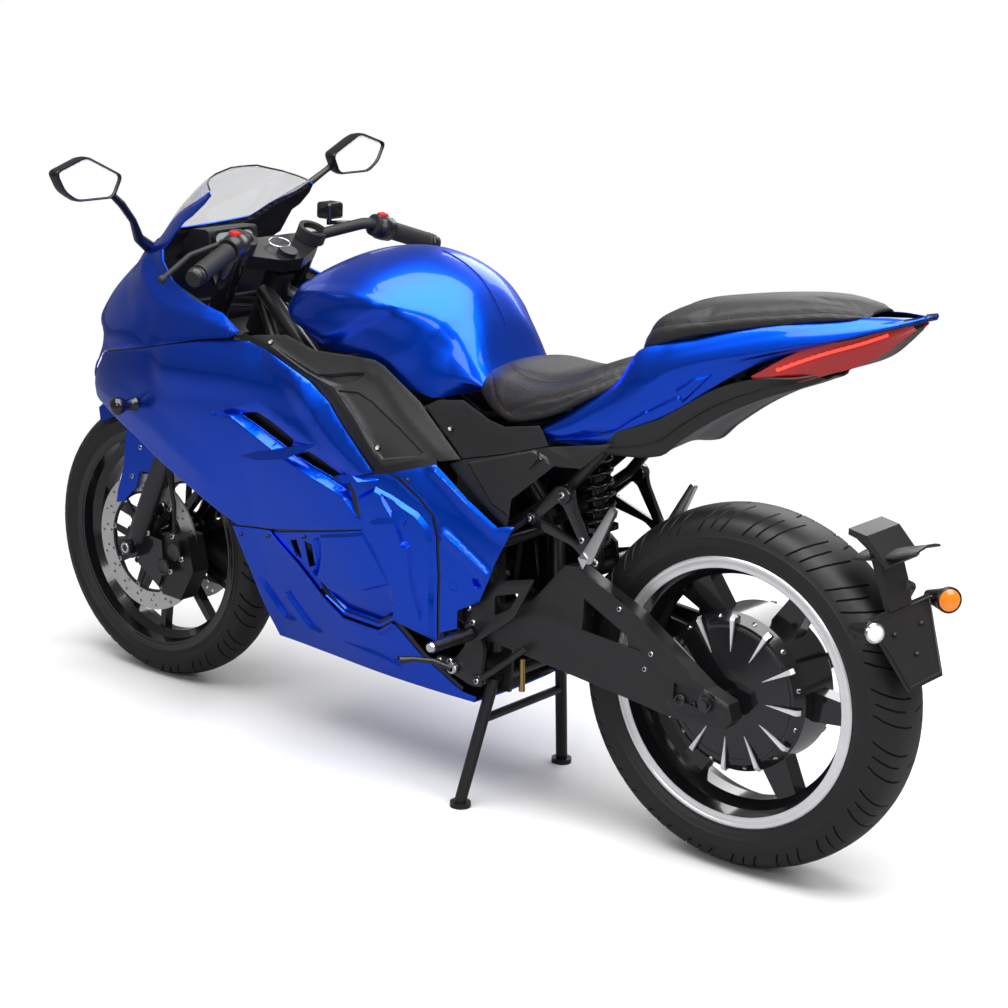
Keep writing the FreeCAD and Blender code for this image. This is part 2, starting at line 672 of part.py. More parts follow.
def make_frame():
    spar = size("spar_radius")
    cradle = size("cradle_radius")
    cradle_y = size("cradle_y")
    cradle_z = size("cradle_z")
    brace = cradle - 2
    head_mid = on_stem((HEAD_FROM + HEAD_TO) / 2)
    head = rod(on_stem(HEAD_FROM), on_stem(HEAD_TO), 27)
    pieces = []
    pivot = Vector(size("pivot_x"), 0, size("pivot_z"))
    for side in (1, -1):
        def at(x, y, z, side=side):
            return Vector(x, side * y, z)
        pieces.append(bent_rod([at(head_mid.x - 6, 20, head_mid.z + 20), at(900, 112, 742),
                                at(640, 122, 610), at(500, 108, 470), at(478, 88, 372),
                                at(478, 84, cradle_z - 14)], spar, 46))
        pieces.append(bent_rod([at(head_mid.x, 18, head_mid.z - 5), at(1050, 60, 740),
                                at(985, cradle_y, 560), at(900, cradle_y, cradle_z),
                                at(560, cradle_y, cradle_z), at(478, 84, cradle_z)], cradle, 40))
        pieces.append(bent_rod([at(700, 118, 640), at(400, 96, 700), at(200, 74, 757),
                                at(75, 62, 816), at(20, 58, 838)], cradle, 40))
        pieces.append(bent_rod([at(505, 106, 476), at(330, 90, 610), at(214, 76, 748)], brace, 40))
        ear = side_prism([(442, 304), (504, 304), (496, 212), (446, 212)], side * 76, side * 84)
        pieces.append(ear)
    for x, y, z, radius in ((860, cradle_y, cradle_z, brace), (630, cradle_y, cradle_z, brace),
                            (352, 88, 717, brace), (502, 106, 472, brace), (45, 59, 828, brace),
                            (742, 117, 662, brace)):
        pieces.append(rod(Vector(x, -y, z), Vector(x, y, z), radius))
    # stay ahead of the head tube that carries the cowl, and stubs that carry the side panels
    spot = Vector(1262, 0, 800)
    pieces.append(bent_rod([Vector(1144, 0, 812), spot, Vector(1296, 0, 880)], 10, 24))
    inside = size("panel_wall") + size("running_clearance")
    reach = skin_half_width(spot.x, spot.z) - inside
    pieces.append(rod(spot + Vector(-4, -reach, 4), spot + Vector(-4, reach, 4), 7))
    for x, z, y_from in ((1036, 702, 66), (959, 480, 94), (606, 576, 118)):
        reach = skin_half_width(x, z) - inside
        for side in (1, -1):
            pieces.append(rod(Vector(x, side * y_from, z), Vector(x, side * reach, z), 7))
    frame = join([head] + pieces)
    frame = frame.cut(rod(on_stem(HEAD_FROM - 30), on_stem(HEAD_TO + 30),
                          size("stem_radius") + size("running_clearance")))
    frame = frame.cut(rod(pivot + Vector(0, -200, 0), pivot + Vector(0, 200, 0), 10.3))
    stand_pivot = Vector(size("stand_pivot_x"), 0, size("stand_pivot_z"))
    bush = size("stand_tube") + size("running_clearance")
    frame = frame.cut(rod(stand_pivot + Vector(0, -200, 0), stand_pivot + Vector(0, 200, 0), bush))
    add_shape("frame", frame)


make_frame()


def make_battery():
    block = doc.addObject("Part::Box", "battery_block")
    block.Label = "battery_block"
    block.setExpression("Length", "Sizes.battery_length")
    block.setExpression("Width", "Sizes.battery_width")
    block.setExpression("Height", "Sizes.battery_height")
    block.setExpression("Placement.Base.x", "Sizes.rear_axle_x + 600 - 12")
    block.setExpression("Placement.Base.y", "-Sizes.battery_width / 2")
    block.setExpression("Placement.Base.z", "Sizes.cradle_z + Sizes.cradle_radius - 2 + Sizes.running_clearance")
    doc.recompute()
    SUB_PARTS.append(block)


make_battery()


SHOCK_LOW = Vector(320, 0, 497)
SHOCK_HIGH = Vector(352, 0, 717)


def make_swingarm():
    half = size("swingarm_thickness") / 2
    middle = size("swingarm_y")
    pivot = Vector(size("pivot_x"), 0, size("pivot_z"))
    outline = [(500, 344), (492, 372), (440, 384), (400, 376), (306, 486), (280, 490), (150, 432),
               (4, 338), (-40, 322), (-48, 296), (-34, 278), (60, 272), (480, 316)]
    arms = []
    for side in (1, -1):
        low = side * middle - half
        arm = side_prism(outline, low, low + 2 * half)
        window = side_prism([(268, 440), (170, 392), (160, 352), (262, 366)], low - 1, low + 2 * half + 1)
        slot = side_prism([(70, 334), (20, 330), (20, 302), (70, 306)], low - 1, low + 2 * half + 1)
        spool_at = Vector(112, side * (middle + half) - side * size("spool_depth"), 318)
        if side < 0:
            spool_at = Vector(112, -(middle + half) - 1, 318)
        spool = Part.makeCylinder(size("spool_radius"), size("spool_depth") + 1, spool_at, Vector(0, 1, 0))
        arm = arm.cut([window, slot, spool])
        arm = arm.cut(rod(REAR + Vector(0, low - 1, 0), REAR + Vector(0, low + 2 * half + 1, 0),
                          size("rear_axle_radius") + 0.05))
        arms.append(arm)
    # pivot sleeve between the arms, and the tubes that tie them ahead of the tyre
    reach = middle - half + 4
    sleeve = rod(pivot + Vector(0, -reach, 0), pivot + Vector(0, reach, 0), 22)
    lower_tie = rod(Vector(392, -reach, 352), Vector(392, reach, 352), 20)
    upper_tie = rod(Vector(312, -reach, 458), Vector(312, reach, 458), 14)
    shock_lug = side_prism([(296, 458), (330, 458), (338, 500), (318, 512), (302, 500)], -26, -18)
    swingarm = join(arms + [sleeve, lower_tie, upper_tie, shock_lug, mirrored(shock_lug)])
    swingarm = swingarm.cut(rod(pivot + Vector(0, -200, 0), pivot + Vector(0, 200, 0), 10.3))
    swingarm = swingarm.cut(rod(SHOCK_LOW - Vector(0, 40, 0), SHOCK_LOW + Vector(0, 40, 0), 5.2))
    add_shape("swingarm", swingarm, ["frame"])
    bolt = rod(pivot + Vector(0, -134, 0), pivot + Vector(0, 134, 0), 10)
    heads = [rod(pivot + Vector(0, side * 125, 0), pivot + Vector(0, side * 136, 0), 16) for side in (1, -1)]
    add_shape("swingarm_pivot_bolt", join([bolt] + heads))


make_swingarm()


def make_shock():
    low = SHOCK_LOW
    high = SHOCK_HIGH
    along = (high - low).normalize()
    length = (high - low).Length
    eye = rod(low - Vector(0, 17, 0), low + Vector(0, 17, 0), 12)
    body = rod(low + along * 8, low + along * (length * 0.55), 18)
    shaft = rod(low + along * 20, high - along * 4, 7)
    perch = rod(low + along * 26, low + along * 34, 33)
    cap = rod(high - along * 34, high - along * 22, 32)
    top_eye = rod(high - Vector(0, 15, 0), high + Vector(0, 15, 0), 17)
    bolt = rod(low - Vector(0, 31, 0), low + Vector(0, 31, 0), 5)
    pitch = (length - 34 - 34) / 7.5
    helix = Part.makeHelix(pitch, pitch * 7.2, 27)
    ring = Part.Wire([Part.makeCircle(4.6, Vector(27, 0, 0), Vector(0, 1, 0))])
    coil = Part.Wire(helix.Edges).makePipeShell([ring], True, True)
    coil.Placement = FreeCAD.Placement(low + along * 37, FreeCAD.Rotation(Vector(0, 0, 1), along))
    add_shape("shock_absorber", join([eye, body, shaft, perch, cap, top_eye, bolt]), ["frame"])
    add_shape("shock_spring", coil, ["shock_absorber"])


make_shock()


# Bodywork panels cut from the skins

def cut_panel(skin, outline, holes=()):
    panel = skin.common(side_prism(outline, 2, 400))
    for hole in holes:
        panel = panel.cut(side_prism(hole, 2, 400))
    return panel


def make_bodywork():
    side = [(1018, 780), (1114, 760), (1271, 726), (1440, 690), (1500, 640), (1560, 596), (1545, 590),
            (1432, 583), (1307, 549), (1224, 511), (1075, 441), (1032, 424), (878, 455), (695, 492),
            (727, 546), (690, 594), (648, 604), (724, 676), (816, 744), (903, 770), (1000, 792)]
    vent = [(1040, 646), (925, 682), (801, 639), (706, 600), (734, 560), (864, 594), (901, 604)]
    vent_rim = [(1052, 646), (926, 688), (799, 645), (698, 602), (732, 553), (866, 588), (903, 598)]
    duct = DUCT_SKIN.common(side_prism(vent_rim, 2, 400))
    duct = duct.cut(DUCT_SPACE.common(side_prism(vent, 2, 400)))
    add_pair("side_fairing", join([cut_panel(PANEL_SKIN, side, [vent]), duct]), ["frame"])

    cowl = [(1016, 778), (1114, 757), (1271, 723), (1436, 686), (1496, 636), (1556, 590), (1600, 590),
            (1600, 760), (1500, 840), (1384, 926), (1294, 953), (1252, 982), (1230, 994), (1193, 1011),
            (1157, 1033), (1150, 1028), (1164, 1010), (1192, 985), (1214, 971), (1233, 948), (1252, 923),
            (1266, 914), (1258, 891), (1219, 863), (1141, 838), (1057, 824), (1003, 798)]
    nose = PANEL_SKIN.common(side_prism(cowl, -400, 400))
    lamp = [(1560, 612), (1560, 690), (1478, 742), (1440, 726), (1470, 668)]
    lamp_hole = side_prism(lamp, 45, 400)
    nose = nose.cut([lamp_hole, mirrored(lamp_hole)])
    add_shape("nose_cowl", nose, ["side_fairing_left", "side_fairing_right", "frame"])
    lens = [(1566, 606), (1566, 692), (1480, 749), (1432, 729), (1464, 664)]
    lenses = COVER_SKIN.common(side_prism(lens, 39, 400))
    add_shape("headlamps", both_sides(lenses), ["nose_cowl"])

    screen = [(1157, 1035), (1187, 1048), (1205, 1058), (1214, 1069), (1300, 1069), (1400, 975), (1450, 906),
              (1384, 916), (1290, 945), (1250, 973), (1228, 986), (1191, 1003), (1162, 1020)]
    add_shape("windscreen", SCREEN_SKIN.common(side_prism(screen, -400, 400)), ["nose_cowl"])

    lower = [(1030, 426), (878, 459), (698, 496), (696, 552), (650, 598), (600, 606), (556, 624),
             (412, 533), (394, 542), (427, 470), (432, 450), (459, 394), (505, 370), (510, 334),
             (547, 318), (640, 300), (760, 312), (860, 360), (960, 410)]
    add_pair("mid_fairing", cut_panel(PANEL_SKIN, lower), ["side_fairing", "frame"])

    belly = []
    for x, bottom, top, low_y in ((1036, 400, 430, 150), (1012, 316, 426, 128), (975, 214, 420, 92),
                                  (860, 200, 368, 96), (760, 196, 322, 98), (640, 192, 308, 96),
                                  (540, 192, 326, 92), (505, 192, 262, 92)):
        high_y = skin_half_width(x, top) - 3
        outer = [(low_y - 20, bottom), (low_y, bottom + 8), (high_y, top)]
        inner = [(high_y - 5, top), (low_y - 4, bottom + 12), (low_y - 24, bottom + 5)]
        belly.append((x, outer + inner))
    sections = []
    for x, half in belly:
        left = [(x, y, z) for y, z in half]
        right = [(x, -y, z) for y, z in reversed(half)]
        sections.append(left + right)
    add_shape("belly_pan", loft(sections), ["mid_fairing_left", "mid_fairing_right", "side_fairing_left",
                                          "side_fairing_right", "frame"])


make_bodywork()


# Tank cover, seats and tail

def make_tank():
    stations = [(524, [(0, 806), (66, 800), (92, 782), (102, 764), (100, 752)]),
                (556, [(0, 866), (60, 858), (100, 818), (116, 772), (112, 742)]),
                (604, [(0, 924), (64, 912), (114, 864), (132, 796), (134, 732)]),
                (668, [(0, 958), (82, 938), (150, 886), (149, 824), (149, 752)]),
                (740, [(0, 970), (92, 946), (160, 896), (158, 838), (154, 790)]),
                (840, [(0, 954), (92, 930), (148, 886), (158, 836), (154, 790)]),
                (930, [(0, 918), (86, 902), (126, 866), (140, 836), (136, 822)]),
                (975, [(0, 880), (60, 872), (96, 852), (104, 840), (100, 836)])]
    add_shape("tank_cover", cross_loft([(x, half + [(0, half[-1][1])]) for x, half in stations]))


def make_seats():
    rider = [(536, [(0, 790), (84, 780), (102, 760), (96, 746)]),
             (480, [(0, 803), (100, 791), (126, 746), (116, 722)]),
             (430, [(0, 801), (110, 790), (138, 742), (128, 714)]),
             (352, [(0, 806), (114, 795), (142, 758), (132, 738)]),
             (288, [(0, 834), (106, 820), (130, 788), (120, 770)]),
             (240, [(0, 852), (92, 842), (112, 814), (102, 797)]),
             (200, [(0, 868), (80, 862), (98, 846), (90, 836)])]
    rider_solid = cross_loft([(x, half + [(0, half[-1][1])]) for x, half in rider])
    add_shape("rider_seat", rider_solid, ["tank_cover", "frame"])
    pillion = [(208, [(0, 880), (64, 876), (80, 870), (74, 866)]),
               (180, [(0, 936), (82, 926), (104, 894), (96, 878)]),
               (120, [(0, 960), (88, 948), (108, 914), (98, 898)]),
               (0, [(0, 983), (78, 973), (94, 944), (86, 930)]),
               (-120, [(0, 1000), (62, 991), (74, 968), (66, 956)]),
               (-200, [(0, 991), (42, 985), (50, 978), (44, 971)])]
    pillion_solid = cross_loft([(x, half + [(0, half[-1][1])]) for x, half in pillion])
    add_shape("pillion_seat", pillion_solid, ["rider_seat"])


def make_tail():
    # upper side wedge of the tail, one each side below the passenger seat
    cover = [(362, 722, 690, 128), (300, 764, 698, 126), (228, 814, 706, 120), (176, 864, 745, 117),
             (112, 896, 782, 112), (0, 936, 848, 98), (-120, 963, 912, 76), (-215, 977, 951, 52),
             (-276, 984, 974, 26)]
    sections = []
    for x, top, low, y in cover:
        sections.append([(x, y - 16, top), (x, y, (top * 2 + low) / 3), (x, y - 10, low),
                         (x, y - 15, low + 2), (x, y - 6, (top * 2 + low) / 3), (x, y - 22, top - 3)])
    side = loft(sections)
    add_pair("tail_cover", side, ["frame", "rider_seat", "pillion_seat"])
    lamp = [(-16, 860, 848, 84), (-82, 900, 857, 76), (-130, 921, 874, 66), (-206, 951, 910, 44),
            (-266, 970, 960, 20)]
    sections = []
    for x, top, low, y in lamp:
        sections.append([(x, 0, top), (x, y, top - 4), (x, y - 4, low), (x, 0, low)])
    half = loft(sections)
    add_shape("tail_lamp", join([half, mirrored(half)]),
              ["tail_cover_left", "tail_cover_right", "pillion_seat", "frame"])
    tray = [(296, [(0, 716), (96, 710), (100, 692), (0, 686)]),
            (200, [(0, 758), (98, 754), (98, 704), (0, 696)]),
            (110, [(0, 812), (84, 808), (84, 738), (0, 730)]),
            (20, [(0, 850), (76, 846), (74, 800), (0, 792)]),
            (-60, [(0, 862), (64, 860), (60, 842), (0, 834)]),
            (-120, [(0, 876), (50, 874), (46, 866), (0, 860)])]
    add_shape("tail_undertray", cross_loft([(x, half) for x, half in tray]),
              ["frame", "tail_cover_left", "tail_cover_right", "tail_lamp", "rider_seat"])


def make_covers():
    black = [(1014, 788), (960, 800), (902, 806), (834, 778), (709, 786), (688, 778), (609, 727),
             (507, 646), (548, 632), (655, 596), (724, 672), (812, 740), (900, 766), (996, 788)]
    add_pair("side_cover", cut_panel(COVER_SKIN, black), ["tank_cover", "side_fairing", "mid_fairing"])
    seat_side = [(606, 722), (574, 724), (513, 734), (435, 712), (359, 725), (224, 712), (278, 662),
                 (329, 664), (406, 590), (420, 535), (545, 624), (512, 645)]
    seat_cover = []
    for x, low_y, high_y in ((610, 158, 150), (500, 152, 142), (400, 146, 136), (300, 136, 126), (215, 124, 112)):
        seat_cover.append([(x, low_y, 520), (x, high_y, 740), (x, high_y - 4, 740), (x, low_y - 4, 520)])
    rear_cover = loft(seat_cover).common(side_prism(seat_side, 2, 400))
    add_pair("seat_cover", rear_cover,
             ["mid_fairing", "side_cover", "tail_cover", "rider_seat", "tank_cover", "frame"])


make_tank()
make_seats()
make_tail()
make_covers()


# Cockpit, mirrors and lights

def make_cockpit():
    case = side_prism([(1290, 874), (1302, 916), (1272, 944), (1232, 946), (1226, 898), (1250, 866)], -66, 66)
    case = case.makeFillet(8, [e for e in case.Edges if e.Length > 100])
    mount = side_prism([(1292, 880), (1300, 905), (1330, 905), (1380, 870), (1340, 860)], -12, 12)
    add_shape("dash_unit", join([case, mount]), ["nose_cowl", "windscreen", "frame"])
    sections = []
    for x, z, wide in ((1262, 856, 24), (1200, 846, 26), (1100, 816, 30), (1015, 792, 30)):
        y = skin_half_width(x, z) - 2
        sections.append([(x, y, z), (x, y - wide, z - 4), (x, y - wide, z - 8), (x, y - 2, z - 6)])
    add_shape("cockpit_trims", both_sides(loft(sections)), ["nose_cowl", "side_fairing_left",
                                                           "side_fairing_right"])


def make_mirrors():
    foot = Vector(1346, skin_half_width(1346, 901) - 2, 900)
    base = Vector(1332, 150, 938)
    ball = Vector(1266, 258, 1012)
    stalk = bent_rod([base, base + Vector(-2, 30, 36), ball], 7, 22)
    rise = base + Vector(0, 6, 8) - foot
    boot = Part.makeCone(20, 9, rise.Length, foot, rise)
    centre = Vector(1243, 355, 1064)
    corners = [(-78, -6), (-46, 34), (40, 38), (82, 10), (66, -34), (-30, -38)]
    front = []
    back = []
    for across, up in corners:
        front.append((centre.x - 12, centre.y + across, centre.z + up))
        back.append((centre.x + 34, centre.y + across * 0.62, centre.z + up * 0.6))
    housing = loft([front, back], True)
    neck = rod(ball, Vector(centre.x + 14, centre.y - 26, centre.z - 16), 9)
    mirror = join([stalk, boot, Part.makeSphere(12, ball), neck, housing])
    # what the boot leaves inside the cowl is dropped
    mirror = mirror.cut([PLACED["nose_cowl"], PLACED["windscreen"]])
    add_pair("mirror", max(mirror.Solids, key=lambda solid: solid.Volume))


def make_lights():
    spot = Vector(1288, 0, 617)
    y = skin_half_width(spot.x, spot.z)
    stem = Part.makeCone(15, 11, 26, Vector(spot.x, y + 0.3, spot.z), Vector(0.25, 1, 0))
    tip = Vector(spot.x + 7, y + 26, spot.z)
    body = rod(tip, tip + Vector(6, 20, 0), 17)
    add_shape("front_indicators", both_sides(join([stem, body]).cut(PLACED["side_fairing_left"])))
    spot = Vector(-280, 120, 500)
    cone = Part.makeCone(9, 20, 34, spot + Vector(28, 0, 4), Vector(-1, 0, 0))
    lens = Part.makeCone(20, 13, 14, spot + Vector(-6, 0, 4), Vector(-1, 0, 0))
    stalk = rod(spot + Vector(11, -3, 4), Vector(-270.4, size("plate_board_top") - 5, 506), 6)
    add_shape("rear_indicators", both_sides(join([cone, lens, stalk])), ["plate_holder"])


def make_plate_holder():
    visor = side_prism([(-196, 640), (-229, 634), (-270, 593), (-266, 587), (-227, 622), (-196, 630)], -52, 52)
    web = side_prism([(-208, 632), (-240, 612), (-262, 552), (-272, 514), (-264, 512), (-246, 556),
                      (-226, 606), (-204, 620)], -36, 36)
    # the board leans back and narrows towards its lower edge
    top, low = size("plate_board_top"), size("plate_board_low")
    corners = [Vector(-264, -top, 514), Vector(-264, top, 514), Vector(-324, low, 398), Vector(-324, -low, 398)]
    board = Part.Face(Part.makePolygon(corners + corners[:1])).extrude(Vector(-4, 0, 2))
    arm_y = -(size("swingarm_y") + size("swingarm_thickness") / 2 + 8)
    arm = tube_run([Vector(-30, arm_y, 300), Vector(-180, arm_y - 8, 430), Vector(-254, -60, 532),
                    Vector(-262, -26, 545)], 9)
    add_shape("plate_holder", join([visor, web, board, arm]), ["swingarm", "rear_axle"])


make_cockpit()
make_mirrors()
make_plate_holder()
make_lights()


# Footrests, rear brake and the centre stand

def make_rests():
    plate = side_prism([(508, 376), (494, 328), (444, 340), (380, 372), (352, 452), (444, 428)], 140, 148)
    hole = side_prism([(440, 416), (400, 426), (392, 398), (436, 386)], 130, 160)
    peg = rod(Vector(484, 148, 326), Vector(484, 246, 324), 12)
    mount = rod(Vector(478, 104, 385), Vector(478, 141, 385), 9)
    add_pair("rider_footrest", join([plate.cut(hole), peg, mount]), ["frame", "mid_fairing"])
    arm = side_prism([(326, 624), (302, 622), (180, 534), (236, 530), (296, 582), (376, 534), (394, 556)],
                     103, 112)
    peg = rod(Vector(206, 110, 530), Vector(206, 176, 548), 8)
    post = rod(Vector(330, 90, 610), Vector(330, 106, 610), 9)
    rests = join([arm, peg, post]).cut([PLACED["frame"], PLACED["seat_cover_left"]])
    add_shape("passenger_footrests", both_sides(rests))


def make_rear_caliper():
    disc_y = size("rear_disc_y")
    arm_face = size("swingarm_y") - size("swingarm_thickness") / 2
    block = side_prism([(70, 380), (118, 396), (140, 360), (104, 336)], -arm_face, -disc_y + 12)
    slot = rod(REAR + Vector(0, -disc_y - 3.6, 0), REAR + Vector(0, -disc_y + 3.6, 0),
               size("rear_disc_radius") + 4)
    add_shape("rear_caliper", block.cut(slot))


def make_centre_stand():
    pivot_x = size("stand_pivot_x")
    pivot_z = size("stand_pivot_z")
    pivot_y = size("stand_pivot_y")
    tube = size("stand_tube")
    foot_x = size("stand_foot_x")
    foot_y = size("stand_foot_y")
    pieces = []
    cross = rod(Vector(pivot_x, -pivot_y - 4, pivot_z), Vector(pivot_x, pivot_y + 4, pivot_z), tube)
    for side in (1, -1):
        top = Vector(pivot_x, side * pivot_y, pivot_z)
        foot = Vector(foot_x, side * foot_y, tube)
        pieces.append(rod(top, foot, tube))
        pieces.append(Part.makeCylinder(19, 9, Vector(foot_x, side * foot_y, 0)))
        pieces.append(Part.makeSphere(tube, foot))
    brace = rod(Vector((pivot_x * 2 + foot_x) / 3, -(pivot_y * 2 + foot_y) / 3, (pivot_z * 2 + tube) / 3),
                Vector((pivot_x * 2 + foot_x) / 3, (pivot_y * 2 + foot_y) / 3, (pivot_z * 2 + tube) / 3), 8)
    stand = join(pieces + [cross, brace])
    stand = stand.cut(Part.makeBox(200, 600, 40, Vector(foot_x - 100, -300, -40)))
    add_shape("centre_stand", stand)


make_rests()
make_rear_caliper()
make_centre_stand()


# Check and write

doc.recompute()
os.makedirs("parts", exist_ok=True)
for item in doc.Objects:
    if "Invalid" in item.State or "Error" in item.State:
        raise RuntimeError(item.Name + " did not compute")
for part in SUB_PARTS:
    if part.Shape.isNull() or not part.Shape.isValid():
        raise RuntimeError(part.Label + " has no valid shape")
    if part.Shape.Volume <= 0:
        raise RuntimeError(part.Label + " has no volume")
for part in SUB_PARTS:
    part.Shape.exportStep("parts/" + part.Label + ".step")
print(len(SUB_PARTS), "sub-parts")
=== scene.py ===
import bpy
import bmesh
import math
from mathutils import Matrix, Vector
from mathutils.bvhtree import BVHTree
from mathutils.geometry import delaunay_2d_cdt
from mathutils.kdtree import KDTree


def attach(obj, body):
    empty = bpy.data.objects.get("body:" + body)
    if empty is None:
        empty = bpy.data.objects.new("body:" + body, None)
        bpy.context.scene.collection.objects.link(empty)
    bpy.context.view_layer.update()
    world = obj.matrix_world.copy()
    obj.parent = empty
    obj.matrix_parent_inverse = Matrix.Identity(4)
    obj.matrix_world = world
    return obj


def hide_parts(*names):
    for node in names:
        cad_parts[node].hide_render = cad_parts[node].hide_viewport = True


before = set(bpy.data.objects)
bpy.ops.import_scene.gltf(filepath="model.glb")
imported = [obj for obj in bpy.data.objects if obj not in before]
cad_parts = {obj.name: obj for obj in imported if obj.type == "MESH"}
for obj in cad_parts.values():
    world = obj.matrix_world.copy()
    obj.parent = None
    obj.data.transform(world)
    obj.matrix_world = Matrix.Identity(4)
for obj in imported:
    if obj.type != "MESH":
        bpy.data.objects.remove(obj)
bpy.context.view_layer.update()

bl_info = {
    "name": "Sport bike looks",
    "version": (1, 0, 0),
    "blender": (4, 5, 0),
    "location": "3D View > Sidebar > Bike",
    "description": "Panels, seats, wheels, fittings and finishes of an electric sport bike",
    "category": "Object",
}

# Places are written as on the drawings: millimetres from the rear axle (x), the middle plane (y)
# and the floor (z). The origin of the scene lies SHIFT ahead of the rear axle.
SHIFT = 675.0


def at(x, y, z):
    return Vector(((x - SHIFT) / 1000.0, y / 1000.0, z / 1000.0))


# ---- sizes and colours a user may change

class PaintSettings(bpy.types.PropertyGroup):
    blue: bpy.props.FloatVectorProperty(name="Body blue", description="Colour of the painted panels", subtype="COLOR",
                                        size=3, min=0, max=1, default=(0.0, 0.082, 0.84))
    black: bpy.props.FloatVectorProperty(name="Plastic", description="Colour of the matt plastic covers",
                                         subtype="COLOR", size=3, min=0, max=1, default=(0.012, 0.0122, 0.013))
    hide: bpy.props.FloatVectorProperty(name="Cover hide", description="Colour of the hide on both seats",
                                        subtype="COLOR", size=3, min=0, max=1, default=(0.010, 0.010, 0.011))
    lamp: bpy.props.FloatVectorProperty(name="Tail lamp", description="Colour of the tail lamp lens",
                                        subtype="COLOR", size=3, min=0, max=1, default=(0.30, 0.002, 0.002))


class PanelSettings(bpy.types.PropertyGroup):
    wall: bpy.props.FloatProperty(name="Panel wall", description="Thickness of the panels", unit="LENGTH",
                                  default=0.003, min=0.001, max=0.01)
    cell: bpy.props.FloatProperty(name="Surface cell", description="Spacing of the points on the side panels",
                                  unit="LENGTH", default=0.010, min=0.004, max=0.05)


class StageSettings(bpy.types.PropertyGroup):
    floor: bpy.props.FloatVectorProperty(name="Floor", description="Colour of the floor", subtype="COLOR",
                                         size=3, min=0, max=1, default=(0.86, 0.86, 0.86))
    lens: bpy.props.FloatProperty(name="Lens", description="Focal length of the camera", unit="NONE",
                                  default=81.70, min=10, max=300)


# ---- materials

MATERIALS = {}
WHITE = (1, 1, 1, 1)


def feed(tree, node, inputs):
    # each input gets a value, or the socket that feeds it
    for key, value in inputs.items():
        if isinstance(value, bpy.types.NodeSocket):
            tree.links.new(value, node.inputs[key])
        else:
            node.inputs[key].default_value = value


def add(tree, kind, inputs=None, **settings):
    node = tree.nodes.new(kind)
    for key, value in settings.items():
        setattr(node, key, value)
    feed(tree, node, inputs or {})
    return node


def node_material(name):
    mat = bpy.data.materials.new(name)
    mat.use_nodes = True
    return mat, mat.node_tree, mat.node_tree.nodes["Principled BSDF"]


def node_group(name, inputs, outputs):
    group = bpy.data.node_groups.new(name, "ShaderNodeTree")
    for label, kind, value in inputs:
        socket = group.interface.new_socket(name=label, in_out="INPUT", socket_type=kind)
        socket.default_value = value
    for label, kind in outputs:
        group.interface.new_socket(name=label, in_out="OUTPUT", socket_type=kind)
    return group, group.nodes.new("NodeGroupInput"), group.nodes.new("NodeGroupOutput")


def grain_group():
    # fine moulded or leather grain: a height and a slight change of colour and gloss
    group, source, sink = node_group(
        "Surface grain",
        [("Color", "NodeSocketColor", (0.5, 0.5, 0.5, 1)), ("Scale", "NodeSocketFloat", 600.0),
         ("Depth", "NodeSocketFloat", 0.3), ("Gloss", "NodeSocketFloat", 0.4), ("Vary", "NodeSocketFloat", 0.15)],
        [("Color", "NodeSocketColor"), ("Roughness", "NodeSocketFloat"), ("Height", "NodeSocketFloat")])
    given = source.outputs
    where = add(group, "ShaderNodeTexCoord").outputs["Object"]
    cells = add(group, "ShaderNodeTexVoronoi", {"Vector": where, "Scale": given["Scale"]}, feature="SMOOTH_F1")
    fine = add(group, "ShaderNodeTexNoise", {"Vector": where, "Scale": given["Scale"], "Detail": 4})
    wide = add(group, "ShaderNodeTexNoise", {"Vector": where, "Scale": 7, "Detail": 3}).outputs["Fac"]
    high = add(group, "ShaderNodeMath", {0: cells.outputs["Distance"], 1: fine.outputs["Fac"]}, operation="ADD")
    deep = add(group, "ShaderNodeMath", {0: high.outputs[0], 1: given["Depth"]}, operation="MULTIPLY")
    shade = add(group, "ShaderNodeMapRange", {"To Min": 0.8, "To Max": 1.25, "Value": wide})
    tint = add(group, "ShaderNodeVectorMath", {0: given["Color"], "Scale": shade.outputs["Result"]},
               operation="SCALE")
    spread = add(group, "ShaderNodeMath", {0: wide, 1: given["Vary"], 2: given["Gloss"]}, operation="MULTIPLY_ADD")
    feed(group, sink, {"Color": tint.outputs[0], "Roughness": spread.outputs[0], "Height": deep.outputs[0]})
    return group


def grained(tree, color, scale, depth, gloss, vary):
    if "grain" not in MATERIALS:
        MATERIALS["grain"] = grain_group()
    return add(tree, "ShaderNodeGroup", {"Color": (*color, 1), "Scale": scale, "Depth": depth, "Gloss": gloss,
                                         "Vary": vary}, node_tree=MATERIALS["grain"]).outputs


def material(name, color, rough, metal=0.0, grain=600.0, depth=0.15, bump=0.0002, vary=0.12, **sockets):
    mat, tree, shader = node_material(name)
    grain_out = grained(tree, color, grain, depth, rough - vary / 2, vary)
    feed(tree, shader, {"Base Color": grain_out["Color"], "Roughness": grain_out["Roughness"], "Metallic": metal})
    if bump > 0:
        relief = add(tree, "ShaderNodeBump", {"Strength": 1.0, "Distance": bump, "Height": grain_out["Height"]})
        feed(tree, shader, {"Normal": relief.outputs["Normal"]})
    feed(tree, shader, {label.replace("_", " "): value for label, value in sockets.items()})
    MATERIALS[name] = mat


